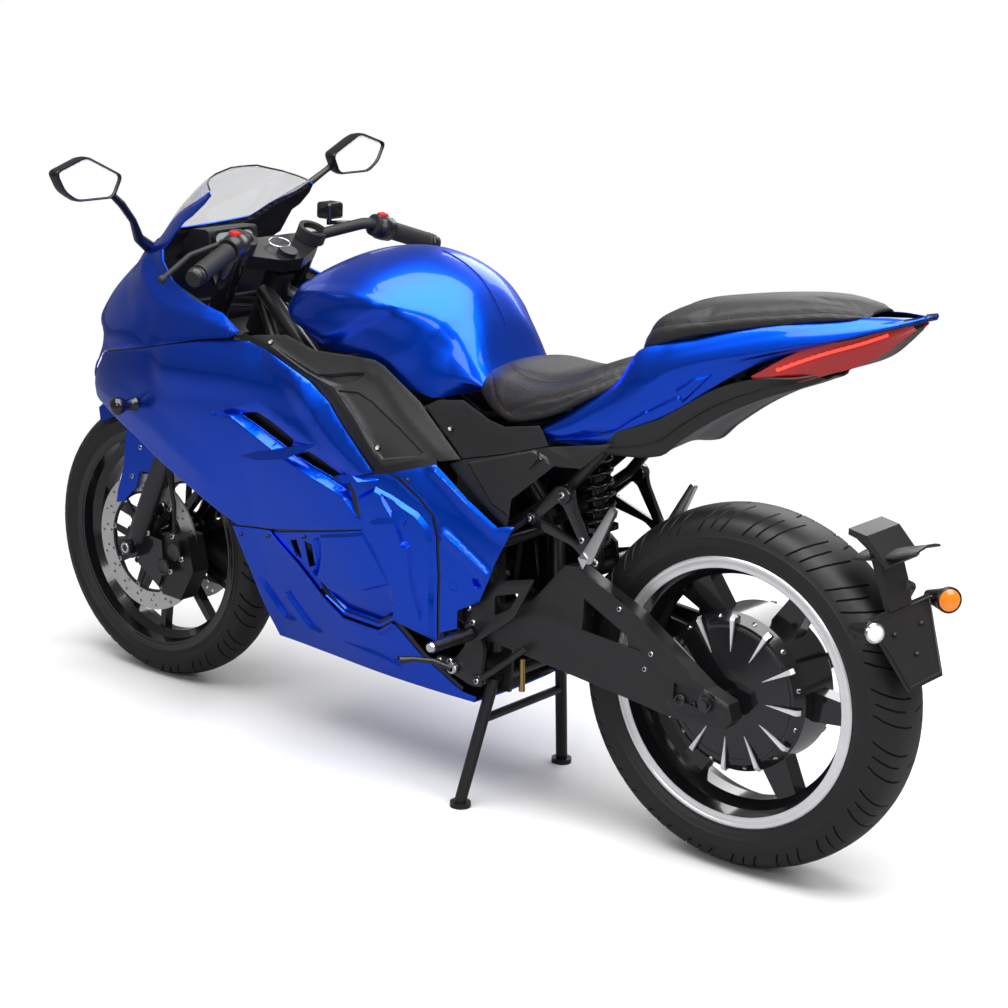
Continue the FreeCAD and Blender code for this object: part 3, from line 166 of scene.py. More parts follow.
def blue_paint(color):
    # deep blue with fine metal flakes under a clear coat
    mat, tree, shader = node_material("blue_paint")
    where = add(tree, "ShaderNodeTexCoord").outputs["Object"]
    flake = add(tree, "ShaderNodeTexVoronoi", {"Scale": 2600, "Vector": where}).outputs["Distance"]
    ramp = add(tree, "ShaderNodeMapRange", {"To Min": 0.85, "To Max": 1.2, "Value": flake})
    tint = add(tree, "ShaderNodeVectorMath", {0: color, "Scale": ramp.outputs["Result"]}, operation="SCALE")
    rough = add(tree, "ShaderNodeMapRange", {"To Min": 0.3, "To Max": 0.4, "Value": flake})
    feed(tree, shader, {"Base Color": tint.outputs[0], "Roughness": rough.outputs["Result"], "Metallic": 1.0,
                        "Coat Weight": 0.5, "Coat Roughness": 0.04, "Coat IOR": 1.5})
    MATERIALS["blue"] = mat


def make_materials():
    paint = bpy.context.scene.bike_paint
    blue_paint(tuple(paint.blue))
    material("plastic", tuple(paint.black), 0.42, grain=900, depth=0.4, bump=0.00012, vary=0.15)
    material("plastic_fine", (0.007, 0.007, 0.008), 0.3, grain=1500, depth=0.3, bump=0.00005, vary=0.1)
    material("hide", tuple(paint.hide), 0.5, grain=420, depth=0.8, bump=0.0005, vary=0.15)
    material("black_metal", (0.007, 0.007, 0.008), 0.34, metal=0.0, grain=700, depth=0.4, bump=0.00012,
             Coat_Weight=0.25, Coat_Roughness=0.25)
    material("gloss_black", (0.006, 0.006, 0.007), 0.16, grain=500, depth=0.1, bump=0.00002, vary=0.06,
             Coat_Weight=0.6, Coat_Roughness=0.05)
    material("rubber", (0.008, 0.008, 0.009), 0.6, grain=700, depth=0.5, bump=0.0002)
    material("tyre", (0.0075, 0.0075, 0.008), 0.5, grain=520, depth=0.5, bump=0.0002)
    material("steel", (0.62, 0.62, 0.62), 0.3, metal=1.0, grain=300, depth=0.3, bump=0.00004)
    material("silver", (0.78, 0.78, 0.80), 0.2, metal=1.0, grain=260, depth=0.2, bump=0.00002, vary=0.08)
    material("bright_lip", (0.9, 0.9, 0.91), 0.3, metal=0.75, grain=260, depth=0.1, bump=0.0, vary=0.06)
    material("dark_steel", (0.10, 0.10, 0.11), 0.35, metal=1.0, grain=300, depth=0.3, bump=0.00008)
    material("gold", (0.55, 0.38, 0.12), 0.32, metal=1.0, grain=300, depth=0.3, bump=0.00005)
    # mirror glass: the pale base colour and faint white glow are a painted reflection of the bright studio, not a lamp
    material("mirror", (0.86, 0.87, 0.88), 0.1, metal=0.25, grain=200, depth=0.0, bump=0.0, vary=0.02,
             Emission_Color=(0.9, 0.92, 0.94, 1), Emission_Strength=0.3)
    material("lamp_red", tuple(paint.lamp), 0.12, grain=300, depth=0.3, bump=0.0001, vary=0.05,
             Coat_Weight=1.0, Coat_Roughness=0.03)
    material("red_glow", (1.0, 0.05, 0.03), 0.2, grain=300, depth=0.1, bump=0.0, vary=0.05,
             Emission_Color=(1.0, 0.03, 0.02, 1), Emission_Strength=1.6)
    material("red_button", (0.55, 0.01, 0.01), 0.3, grain=300, depth=0.1, bump=0.0, vary=0.05)
    material("amber", (0.85, 0.22, 0.01), 0.18, grain=260, depth=0.6, bump=0.0004, vary=0.05,
             Coat_Weight=1.0, Coat_Roughness=0.05)
    material("screen_grey", (0.30, 0.33, 0.34), 0.12, grain=300, depth=0.1, bump=0.0, vary=0.04)
    material("clear_lens", (0.75, 0.78, 0.80), 0.08, grain=260, depth=0.4, bump=0.0003, vary=0.04,
             Coat_Weight=1.0, Coat_Roughness=0.03)
    material("glass", (0.93, 0.95, 0.96), 0.03, grain=200, depth=0.0, bump=0.0, vary=0.01,
             Transmission_Weight=0.85, IOR=1.25, Alpha=0.36)
    material("thread", (0.045, 0.006, 0.006), 0.6, grain=900, depth=0.4, bump=0.0001)
    material("seam_blue", (0.001, 0.006, 0.12), 0.5, grain=600, depth=0.1, bump=0.0)
    material("white_mark", (0.75, 0.75, 0.74), 0.35, metal=0.4, grain=300, depth=0.1, bump=0.0, vary=0.05)


# finish of every CAD node that stays visible
FINISH_NODES = {
    "black_metal": "frame swingarm rider_footrest_left rider_footrest_right rear_caliper steering_yokes "
                   "front_calipers centre_stand",
    "plastic": "battery_block tail_undertray dash_unit cockpit_trims side_cover_left "
               "side_cover_right seat_cover_left seat_cover_right plate_holder",
    "steel": "swingarm_pivot_bolt front_discs rear_disc",
    "gloss_black": "shock_absorber shock_spring passenger_footrests fork_leg_left fork_leg_right "
                   "brake_reservoir front_rim rear_rim",
    "blue": "tank_cover tail_cover_left tail_cover_right nose_cowl side_fairing_left "
            "side_fairing_right mid_fairing_left mid_fairing_right belly_pan front_fender",
    "hide": "rider_seat pillion_seat",
    "lamp_red": "tail_lamp",
    "clear_lens": "headlamps",
    "glass": "windscreen",
    "plastic_fine": "mirror_left mirror_right front_indicators rear_indicators",
    "dark_steel": "rear_axle front_axle",
    "rubber": "clip_on_bar_left clip_on_bar_right",
    "tyre": "front_tyre rear_tyre",
}
NODE_FINISH = {node: finish for finish, nodes in FINISH_NODES.items() for node in nodes.split()}


# ---- helpers for meshes

def new_piece(name, verts, faces, finishes, body, smooth=True, sharp=32):
    """A new object that waits for its body: finishes is one name or a list of them, sharp an angle in degrees."""
    mesh = bpy.data.meshes.new(name)
    mesh.from_pydata([tuple(v) for v in verts], [], faces)
    mesh.validate()
    piece = bpy.data.objects.new(name, mesh)
    bpy.context.scene.collection.objects.link(piece)
    for finish in ([finishes] if isinstance(finishes, str) else finishes):
        mesh.materials.append(MATERIALS[finish])
    if smooth:
        mesh.polygons.foreach_set("use_smooth", [True] * len(mesh.polygons))
        mesh.set_sharp_from_angle(angle=math.radians(sharp))
    mesh.update()
    piece["wanted_body"] = body
    return piece


def apply_modifiers(piece):
    deps = bpy.context.evaluated_depsgraph_get()
    mesh = bpy.data.meshes.new_from_object(piece.evaluated_get(deps))
    piece.modifiers.clear()
    old = piece.data
    piece.data = mesh
    bpy.data.meshes.remove(old)


def outward_normals(piece, merge=0.0):
    # turns every face outwards, after joining points that lie closer than merge
    work = bmesh.new()
    work.from_mesh(piece.data)
    if merge:
        bmesh.ops.remove_doubles(work, verts=work.verts, dist=merge)
    bmesh.ops.recalc_face_normals(work, faces=work.faces)
    work.to_mesh(piece.data)
    work.free()


def ring_faces(rings, count, first=0):
    # four-sided faces between neighbouring rings of count points each
    starts = [first + r * count for r in range(rings - 1)]
    return [(a + k, a + (k + 1) % count, a + count + (k + 1) % count, a + count + k)
            for a in starts for k in range(count)]


def sheet_faces(rows, columns):
    # four-sided faces of a sheet of rows and columns of points
    return [(a, a + 1, a + columns + 1, a + columns)
            for r in range(rows - 1) for a in range(r * columns, (r + 1) * columns - 1)]


def finish_piece(piece, replaces=()):
    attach(piece, piece["wanted_body"])
    del piece["wanted_body"]
    if replaces:
        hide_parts(*replaces)
    return piece


# ---- the stage

CAMERA_ANGLES = (218.216, 15.004, 2.09)  # degrees: about the bike, above the floor, and the picture's roll
CAMERA_PLACE = (-2.598, 3.127, 1.593)
LIGHTS = [  # name, place, target, width, height, power
    ("top_light", (-0.4, 0.6, 3.4), (0, 0, 0.4), 4.4, 3.4, 250),
    ("side_light", (-1.2, 3.6, 2.2), (0.1, 0, 0.6), 1.8, 0.8, 24),
    ("tail_light", (-3.6, 0.2, 2.4), (-0.3, 0, 0.6), 1.6, 1.8, 40),
    ("far_light", (0.8, -3.4, 2.6), (0, 0, 0.6), 2.4, 1.8, 50)]
FLOOR_HALF = 14.0


def camera_axes():
    a, e, roll = (math.radians(angle) for angle in CAMERA_ANGLES)
    back = Vector((math.sin(a) * math.cos(e), -math.cos(a) * math.cos(e), math.sin(e)))
    right = (-back).cross(Vector((0, 0, 1))).normalized()
    up = right.cross(-back)
    return (right * math.cos(roll) + up * math.sin(roll), -right * math.sin(roll) + up * math.cos(roll), back)


def seen_straight(tree, path):
    # 1 for what the camera sees directly or through the screen
    return add(tree, "ShaderNodeMath", {0: path.outputs["Is Camera Ray"], 1: path.outputs["Is Transmission Ray"]},
               operation="MAXIMUM").outputs[0]


def floor_paint(color):
    mat, tree, shader = node_material("floor_paint")
    feed(tree, shader, {"Base Color": (*color, 1), "Roughness": 0.9, "Specular IOR Level": 0.1})
    # the floor turns plain white away from the bike, and keeps the shadow near it
    where = add(tree, "ShaderNodeTexCoord").outputs["Object"]
    far = add(tree, "ShaderNodeVectorMath", {0: where}, operation="LENGTH").outputs["Value"]
    fade = add(tree, "ShaderNodeMapRange", {"From Min": 1.0, "From Max": 2.6, "Value": far},
               interpolation_type="SMOOTHSTEP")
    plain = add(tree, "ShaderNodeEmission", {"Color": WHITE})
    path = add(tree, "ShaderNodeLightPath")
    share = add(tree, "ShaderNodeMath", {0: fade.outputs["Result"], 1: seen_straight(tree, path)},
                operation="MULTIPLY")
    mix = add(tree, "ShaderNodeMixShader", {"Fac": share.outputs[0], 1: shader.outputs[0], 2: plain.outputs[0]})
    # glossy parts mirror a darker floor
    dim = add(tree, "ShaderNodeBsdfDiffuse", {"Color": (0.26, 0.26, 0.27, 1)})
    mirrored = add(tree, "ShaderNodeMixShader",
                   {"Fac": path.outputs["Is Glossy Ray"], 1: mix.outputs[0], 2: dim.outputs[0]})
    feed(tree, tree.nodes["Material Output"], {"Surface": mirrored.outputs[0]})
    return mat


def studio_world(scene):
    # plain white to the camera, and a faint even light on the bike
    world = bpy.data.worlds.new("studio") if scene.world is None else scene.world
    scene.world = world
    world.use_nodes = True
    tree = world.node_tree
    sky = tree.nodes["Background"]
    feed(tree, sky, {"Color": WHITE, "Strength": 0.2})
    plain = add(tree, "ShaderNodeBackground", {"Color": WHITE, "Strength": 1.0})
    seen = seen_straight(tree, add(tree, "ShaderNodeLightPath"))
    choose = add(tree, "ShaderNodeMixShader", {"Fac": seen, 1: sky.outputs[0], 2: plain.outputs[0]})
    feed(tree, tree.nodes["World Output"], {"Surface": choose.outputs[0]})


class BIKE_OT_stage(bpy.types.Operator):
    """Floor, soft studio light, world and camera"""
    bl_idname = "bike.stage"
    bl_label = "Stage"

    def execute(self, context):
        scene, settings = context.scene, context.scene.bike_stage
        mesh = bpy.data.meshes.new("floor")
        corners = [(x * FLOOR_HALF, y * FLOOR_HALF, 0) for x, y in ((-1, -1), (1, -1), (1, 1), (-1, 1))]
        mesh.from_pydata(corners, [], [(0, 1, 2, 3)])
        floor = bpy.data.objects.new("floor", mesh)
        scene.collection.objects.link(floor)
        mesh.materials.append(floor_paint(settings.floor))
        studio_world(scene)
        for name, place, target, wide, high, power in LIGHTS:
            lamp = bpy.data.lights.new(name, "AREA")
            lamp.shape = "RECTANGLE"
            lamp.size, lamp.size_y, lamp.energy = wide, high, power
            item = bpy.data.objects.new(name, lamp)
            item.location = place
            item.rotation_euler = (Vector(target) - Vector(place)).to_track_quat("-Z", "Y").to_euler()
            scene.collection.objects.link(item)
        lens = bpy.data.cameras.new("photo_camera")
        lens.sensor_width = 36
        lens.lens = settings.lens
        camera = bpy.data.objects.new("photo_camera", lens)
        turn = Matrix(camera_axes()).transposed().to_4x4()
        camera.matrix_world = Matrix.Translation(CAMERA_PLACE) @ turn
        scene.collection.objects.link(camera)
        scene.camera = camera
        scene.view_settings.view_transform = "Standard"
        return {"FINISHED"}


class BIKE_OT_finishes(bpy.types.Operator):
    """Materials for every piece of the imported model"""
    bl_idname = "bike.finishes"
    bl_label = "Finishes"

    def execute(self, context):
        make_materials()
        for name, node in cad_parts.items():
            node.data.materials.clear()
            node.data.materials.append(MATERIALS[NODE_FINISH[name]])
        return {"FINISHED"}


# ---- surfaces and panels

HALF_WIDTH = [(190, 95), (300, 140), (420, 180), (520, 208), (620, 228), (680, 232), (740, 224),
              (790, 208), (830, 192), (870, 180), (930, 177), (985, 160), (1037, 144), (1070, 136)]
NOSE_TIP = [(190, 1560), (593, 1568), (650, 1560), (698, 1541), (740, 1550), (755, 1546), (810, 1504),
            (872, 1433), (929, 1359), (985, 1315), (1037, 1257), (1070, 1202)]
NOSE_POWER = [(190, 2.0), (700, 2.0), (755, 2.1), (872, 2.6), (929, 3.0), (1070, 2.6)]
TAPER = [(380, 0.68), (500, 0.76), (620, 0.88), (740, 0.97), (860, 1.0), (1060, 1.0)]
DROP = [(380, 220), (500, 180), (620, 120), (740, 70), (860, 30), (980, 0)]
NOSE_BASE = 1060.0
NOSE_SPAN = 520.0


def between(table, x):
    # value of a smooth curve through the rows of a small table
    if x <= table[0][0]:
        return table[0][1]
    if x >= table[-1][0]:
        return table[-1][1]
    i = next(k for k in range(len(table) - 1) if x <= table[k + 1][0])
    x0, y0 = table[i]
    x1, y1 = table[i + 1]
    xa, ya = table[max(i - 1, 0)]
    xb, yb = table[min(i + 2, len(table) - 1)]
    span = x1 - x0
    t = (x - x0) / span
    slope0, slope1 = (y1 - ya) / (x1 - xa) * span, (yb - y0) / (xb - x0) * span
    return ((2 * t ** 3 - 3 * t ** 2 + 1) * y0 + (t ** 3 - 2 * t ** 2 + t) * slope0
            + (3 * t ** 2 - 2 * t ** 3) * y1 + (t ** 3 - t ** 2) * slope1)


def skin_u(x, z):
    # distance along the fairing's plan curve, which turns round the nose ahead of NOSE_BASE
    if x <= NOSE_BASE:
        return x
    share = min((x - NOSE_BASE) / (between(NOSE_TIP, z) - NOSE_BASE), 1.0)
    angle = math.acos(min(share ** (between(NOSE_POWER, z) / 2), 1.0))
    return NOSE_BASE + NOSE_SPAN * (1 - angle / (math.pi / 2))


def skin_x(u, z):
    if u <= NOSE_BASE:
        return u
    angle = max(1 - (u - NOSE_BASE) / NOSE_SPAN, 0.0) * math.pi / 2
    return NOSE_BASE + (between(NOSE_TIP, z) - NOSE_BASE) * math.cos(angle) ** (2 / between(NOSE_POWER, z))


def skin(u, z):
    if u <= NOSE_BASE:
        return Vector((u, between(TAPER, u) * between(HALF_WIDTH, z + between(DROP, u)), z))
    angle = max(1 - (u - NOSE_BASE) / NOSE_SPAN, 0.0) * math.pi / 2
    return Vector((skin_x(u, z), between(HALF_WIDTH, z) * math.sin(angle), z))


def same(u, z):
    # for a surface that is measured straight along x
    return u


def lifted(surface, u, v, lift):
    place = surface(u, v)
    if abs(lift) < 1e-6:
        return place
    across = surface(u + 1.5, v) - surface(u - 1.5, v)
    upward = surface(u, v + 1.5) - surface(u, v - 1.5)
    normal = upward.cross(across)
    if normal.length < 1e-9:
        normal = Vector((1, 0, 0))
    normal.normalize()
    if normal.y < 0:
        normal = -normal
    return place + normal * lift


def inside(polygon, x, z):
    hit = False
    for (x0, z0), (x1, z1) in zip(polygon, polygon[1:] + polygon[:1]):
        if (z0 > z) != (z1 > z) and x < (x1 - x0) * (z - z0) / (z1 - z0) + x0:
            hit = not hit
    return hit


def reach(line, x, z):
    # distance to a run of corners, and on which side of it the point lies
    best, side = 1e9, 1
    for (x0, z0), (x1, z1) in zip(line, line[1:]):
        dx, dz = x1 - x0, z1 - z0
        t = max(0.0, min(1.0, ((x - x0) * dx + (z - z0) * dz) / (dx * dx + dz * dz + 1e-9)))
        far = math.hypot(x - x0 - t * dx, z - z0 - t * dz)
        if far < best - 1e-6:
            best, side = far, (1 if dx * (z - z0) - dz * (x - x0) > 0 else -1)
    return best, side


def ridge(line, height, left, right):
    # a crease with a falling face on each side of it
    def relief(x, z):
        far, side = reach(line, x, z)
        wide = left if side > 0 else right
        return height * max(0.0, 1 - far / wide)
    relief.lines = [line]
    return relief


def groove(line, depth, wide):
    # a narrow cut with sloping walls, whose two edges are in the mesh as well as its floor line
    left, right = [], []
    for i, (x, z) in enumerate(line):
        xa, za = line[max(i - 1, 0)]
        xb, zb = line[min(i + 1, len(line) - 1)]
        long = math.hypot(xb - xa, zb - za) or 1.0
        dx, dz = (xb - xa) / long * wide, (zb - za) / long * wide
        if i == 0:
            left.append((x - dx, z - dz))
        left.append((x - dz, z + dx))
        right.append((x + dz, z - dx))
        if i == len(line) - 1:
            left.append((x + dx, z + dz))

    def relief(x, z):
        return -depth * max(0.0, 1 - reach(line, x, z)[0] / wide)
    relief.lines = [line, left + right[::-1] + left[:1]]
    return relief


def band(length, v, height, wide):
    # a low rib that runs the whole length of a pitch
    def relief(x, z):
        return height * max(0.0, 1 - abs(z - v) / wide)
    relief.lines = [[(0, v + step), (length, v + step)] for step in (-wide, 0, wide)]
    return relief


def swell(line, height, wide):
    def relief(x, z):
        far = min(reach(line, x, z)[0] / wide, 1.0)
        return height * (1 - far * far * (3 - 2 * far))
    relief.lines = []
    return relief


def plateau(polygon, height, ramp):
    loop = polygon + polygon[:1]
    shrunk = shrink(polygon, ramp)

    def relief(x, z):
        if not inside(polygon, x, z):
            return 0.0
        return height * min(reach(loop, x, z)[0] / ramp, 1.0)
    relief.lines = [loop, shrunk + shrunk[:1]]
    return relief


def valley(roof, lip, depth, wall=2.5):
    # a sunken face that leaves the surface at the roof line and drops deepest behind the lip
    polygon = roof + lip[::-1]

    def relief(x, z):
        if not inside(polygon, x, z):
            return 0.0
        a, b = reach(roof, x, z)[0], reach(lip, x, z)[0]
        return depth * a / (a + b + 1e-6) * min(b / wall, 1.0)
    relief.lines = [roof, lip, shifted(lip, wall, polygon)]
    return relief


def shifted(line, step, polygon):
    moved = []
    for i, (x, z) in enumerate(line):
        xa, za = line[max(i - 1, 0)]
        xb, zb = line[min(i + 1, len(line) - 1)]
        long = math.hypot(xb - xa, zb - za) or 1.0
        nx, nz = -(zb - za) / long, (xb - xa) / long
        if not inside(polygon, x + nx * step, z + nz * step):
            nx, nz = -nx, -nz
        moved.append((x + nx * step, z + nz * step))
    return [p for p in moved if inside(polygon, *p)]


def shrink(polygon, step):
    count = len(polygon)
    area = sum(polygon[i][0] * polygon[(i + 1) % count][1] - polygon[(i + 1) % count][0] * polygon[i][1]
               for i in range(count))
    turn = 1 if area > 0 else -1
    moved = []
    for i, (x, z) in enumerate(polygon):
        xa, za = polygon[i - 1]
        xb, zb = polygon[(i + 1) % count]
        a = Vector((x - xa, z - za)).normalized()
        b = Vector((xb - x, zb - z)).normalized()
        na, nb = Vector((-a.y, a.x)) * turn, Vector((-b.y, b.x)) * turn
        mid = na + nb
        mid = mid / max(mid.length_squared, 0.4) * 2
        moved.append((x + mid.x * step, z + mid.y * step))
    return moved


def dense(line, cell):
    points = []
    for (x0, z0), (x1, z1) in zip(line, line[1:]):
        steps = max(1, round(math.hypot(x1 - x0, z1 - z0) / cell))
        points += [(x0 + (x1 - x0) * k / steps, z0 + (z1 - z0) * k / steps) for k in range(steps)]
    return points + [line[-1]]


ROW_STEP = 0.87  # distance of two rows of points, as a share of the cell
FREE_ROOM = 0.45  # a point nearer to a line's points than this share of the cell is left out


def panel_mesh(surface, to_u, to_x, outline, reliefs=(), holes=(), cell=9.0, base=0.0):
    """Points and faces of one panel: outline, creases and holes are (x, z) corners in side view."""
    points, edges = [], []

    def add_line(line, closed):
        run = dense(line + line[:1] if closed else line, cell)
        if closed:
            run = run[:-1]
        first = len(points)
        points.extend((to_u(x, z), z) for x, z in run)
        edges.extend((first + k, first + k + 1) for k in range(len(run) - 1))
        if closed:
            edges.append((first + len(run) - 1, first))

    for loop in (outline, *holes):
        add_line(loop, True)
    for relief in reliefs:
        for line in relief.lines:
            if len(line) > 1:
                add_line(line, False)
    # rows of points between the lines, half a cell apart from row to row
    us, zs = [p[0] for p in points], [p[1] for p in points]
    grid = {}
    for u, z in points:
        grid.setdefault((int(u // cell), int(z // cell)), []).append((u, z))
    row, z = 0, min(zs) + cell / 2
    while z < max(zs):
        u = min(us) + (cell / 2 if row % 2 else 0)
        while u < max(us):
            key = (int(u // cell), int(z // cell))
            near = any((u - p[0]) ** 2 + (z - p[1]) ** 2 < (cell * FREE_ROOM) ** 2
                       for i in (-1, 0, 1) for j in (-1, 0, 1) for p in grid.get((key[0] + i, key[1] + j), ()))
            if not near:
                points.append((u, z))
            u += cell
        z += cell * ROW_STEP
        row += 1
    verts, _, faces, _, _, _ = delaunay_2d_cdt([Vector(p) for p in points], edges, [], 0, 1e-4)
    flat_outline, *flat_holes = [[(to_u(x, z), z) for x, z in dense(loop + loop[:1], cell)[:-1]]
                                 for loop in (outline, *holes)]
    places = []
    for vert in verts:
        x = to_x(vert.x, vert.y)
        places.append(lifted(surface, vert.x, vert.y, base + sum(relief(x, vert.y) for relief in reliefs)))
    kept = []
    for face in faces:
        u = sum(verts[i].x for i in face) / len(face)
        z = sum(verts[i].y for i in face) / len(face)
        if inside(flat_outline, u, z) and not any(inside(hole, u, z) for hole in flat_holes):
            kept.append(face)
    used = sorted({i for face in kept for i in face})
    again = {old: new for new, old in enumerate(used)}
    places = [places[i] for i in used]
    out = []
    for face in kept:
        face = tuple(again[i] for i in face)
        a, b, c = (places[i] for i in face[:3])
        normal = (b - a).cross(c - a)
        out.append(face if normal.y > 0 or (abs(normal.y) < 1e-6 and normal.x > 0) else face[::-1])
    return places, out


def to_scene(places, mirror=False):
    return [at(p.x, -p.y if mirror else p.y, p.z) for p in places]


EDGE_ROUND = 0.0011  # metres
PANEL_SHARP = 28  # degrees: a wider turn between two faces shows as an edge
MERGE = 0.0006  # metres: points of two halves that lie closer are one


def wall(piece, thick, bevel=EDGE_ROUND, sharp=PANEL_SHARP):
    solid = piece.modifiers.new("wall", "SOLIDIFY")
    solid.thickness = thick
    solid.offset = -1
    solid.use_rim = True
    solid.material_offset = len(piece.data.materials) - 1
    if bevel:
        round_off = piece.modifiers.new("edge", "BEVEL")
        round_off.width = bevel
        round_off.segments = 2
        round_off.limit_method = "ANGLE"
        round_off.angle_limit = math.radians(60)
    apply_modifiers(piece)
    piece.data.set_sharp_from_angle(angle=math.radians(sharp))


def panel_pair(name, finishes, mesh, replaces=(), shared=(), bevel=EDGE_ROUND):
    """Left and right panels: replaces are nodes of one side each, shared is a node that both replace."""
    places, faces = mesh
    for side in ("left", "right"):
        mirror = side == "right"
        run = [face[::-1] for face in faces] if mirror else faces
        piece = new_piece(name + "_" + side, to_scene(places, mirror), run, finishes, "chassis", sharp=PANEL_SHARP)
        wall(piece, bpy.context.scene.bike_panels.wall, bevel)
        finish_piece(piece, [node + "_" + side for node in replaces] + list(shared))


def whole_panel(name, finishes, mesh, replaces, bevel=EDGE_ROUND):
    # a panel that crosses the middle plane: both halves joined along their shared edge
    places, faces = mesh
    count = len(places)
    verts = to_scene(places) + to_scene(places, True)
    run = list(faces) + [tuple(i + count for i in face[::-1]) for face in faces]
    piece = new_piece(name, verts, run, finishes, "chassis", sharp=PANEL_SHARP)
    work = bmesh.new()
    work.from_mesh(piece.data)
    bmesh.ops.remove_doubles(work, verts=work.verts, dist=MERGE)
    # near the middle plane a face can be turned the wrong way: all follow the side that most of them have
    work.normal_update()
    before = [face.normal.copy() for face in work.faces]
    bmesh.ops.recalc_face_normals(work, faces=work.faces)
    work.normal_update()
    turned = sum(1 for face, normal in zip(work.faces, before) if face.normal.dot(normal) < 0)
    if turned > len(before) / 2:
        bmesh.ops.reverse_faces(work, faces=work.faces)
    work.to_mesh(piece.data)
    work.free()
    wall(piece, bpy.context.scene.bike_panels.wall, bevel)
    finish_piece(piece, replaces)


# ---- painted panels of the fairing

VENT_ROOF = [(1049, 646), (988, 664), (927, 682), (876, 662), (814, 634), (735, 608), (716, 584), (700, 556),
             (690, 492)]
VENT_LIP = [(1046, 641), (1003, 645), (938, 618), (870, 588), (800, 566), (735, 545), (712, 518), (694, 494)]


def side_fairing():
    outline = [(1018, 782), (1100, 768), (1241, 735), (1404, 696), (1440, 688), (1496, 638), (1554, 593), (1545, 590),
               (1432, 583), (1307, 549), (1224, 511), (1150, 478), (1075, 441), (1032, 424), (940, 436), (804, 464),
               (694, 489), (690, 492), (700, 556), (716, 584), (690, 591), (664, 600), (709, 646), (772, 707),
               (816, 736), (836, 744), (903, 768), (976, 786)]
    reliefs = [
        ridge([(905, 764), (860, 748), (833, 722), (812, 697), (748, 640), (685, 592)], 9, 30, 95),
        swell([(1180, 712), (1009, 728), (886, 732), (833, 722)], 8, 62),
        valley(VENT_ROOF, VENT_LIP, -20, 6),
        ridge([(1500, 612), (1342, 608), (1232, 580), (1110, 520)], 4, 46, 46),
    ]
    slots = [[(992, 651), (939, 664), (900, 652), (846, 628), (868, 600), (936, 626), (985, 645)],
             [(858, 592), (812, 612), (778, 600), (738, 582), (744, 563), (800, 576), (850, 590)]]
    mesh = panel_mesh(skin, skin_u, skin_x, outline, reliefs, slots, bpy.context.scene.bike_panels.cell * 850)
    panel_pair("side_panel", ["blue", "plastic_fine"], mesh, ["side_fairing"])


def nose_cowl():
    outline = [(1018, 785), (1100, 771), (1241, 738), (1404, 699), (1442, 691), (1499, 640), (1556, 595), (1600, 595),
               (1600, 760), (1500, 840), (1384, 926), (1294, 953), (1252, 982), (1230, 994), (1193, 1011), (1157, 1033),
               (1150, 1028), (1164, 1010), (1192, 985), (1214, 971), (1233, 948), (1252, 923), (1266, 914), (1258, 891),
               (1219, 863), (1141, 838), (1057, 824), (1000, 799)]
    lamp = [(1560, 614), (1560, 690), (1478, 742), (1440, 726), (1470, 668)]
    reliefs = [
        ridge([(1330, 880), (1308, 854), (1255, 826), (1224, 816), (1108, 807), (1000, 792)], 11, 70, 34),
        ridge([(1560, 600), (1470, 655), (1420, 720), (1300, 770)], 5, 40, 50),
    ]
    mesh = panel_mesh(skin, skin_u, skin_x, outline, reliefs, holes=[lamp], cell=9)
    whole_panel("cowl_panel", ["blue", "plastic_fine"], mesh, ["nose_cowl"])


def mid_fairing():
    front = [(937, 429), (804, 460), (696, 485), (692, 490), (702, 556), (718, 582), (748, 579), (700, 588),
             (641, 600), (624, 594), (578, 563), (550, 535), (541, 500), (541, 428), (558, 297), (655, 318), (692, 294),
             (781, 297), (821, 327), (875, 384)]
    reliefs = [
        plateau([(934, 425), (806, 455), (760, 407), (723, 372), (705, 369), (805, 328), (834, 352), (875, 388)], 0, 4),
        plateau([(690, 480), (698, 550), (660, 574), (626, 563), (576, 540), (556, 520), (548, 492), (548, 428),
                 (563, 308), (640, 322), (645, 391), (668, 442)], 7, 7),
        plateau([(650, 566), (622, 556), (590, 535), (601, 507), (588, 481), (609, 477), (621, 520), (639, 545)],
                -6, 4),
        plateau([(609, 477), (613, 405), (583, 330), (578, 350), (590, 408), (588, 481)], 6, 4),
        plateau([(806, 455), (760, 407), (723, 372), (713, 363), (645, 391), (668, 442), (692, 483), (740, 470)], 4, 5),
        plateau([(826, 440), (800, 452), (806, 420), (818, 384), (834, 362), (852, 362), (838, 376), (826, 404)],
                -9, 5),
        valley([(834, 361), (805, 342), (705, 369), (648, 388)], [(826, 330), (781, 304), (692, 300), (657, 322)], -12),
    ]
    slots = [[(888, 424), (870, 430), (865, 391), (880, 394)], [(848, 432), (829, 430), (832, 386), (850, 378)]]
    mesh = panel_mesh(skin, skin_u, skin_x, front, reliefs, holes=slots, cell=8)
    panel_pair("mid_panel", ["blue", "plastic_fine"], mesh, ["mid_fairing"])
    rear = [(636, 600), (622, 606), (556, 626), (488, 574), (425, 536), (409, 540), (394, 542), (427, 470),
            (432, 450), (459, 394), (505, 370), (510, 334), (547, 318), (552, 300), (535, 428), (535, 500),
            (544, 537), (574, 566), (618, 598)]
    reliefs = [
        ridge([(560, 618), (488, 566), (425, 528), (404, 532)], 5, 14, 26),
        ridge([(530, 514), (437, 452)], 4, 9, 6),
        ridge([(528, 500), (446, 444)], 4, 6, 22),
        plateau([(522, 424), (504, 426), (500, 408), (518, 406)], 2.5, 3),
        plateau([(472, 438), (456, 438), (452, 424), (468, 420)], -10, 3),
    ]
    mesh = panel_mesh(skin, skin_u, skin_x, rear, reliefs, cell=8)
    panel_pair("rear_panel", ["blue", "plastic_fine"], mesh, ["mid_fairing"])


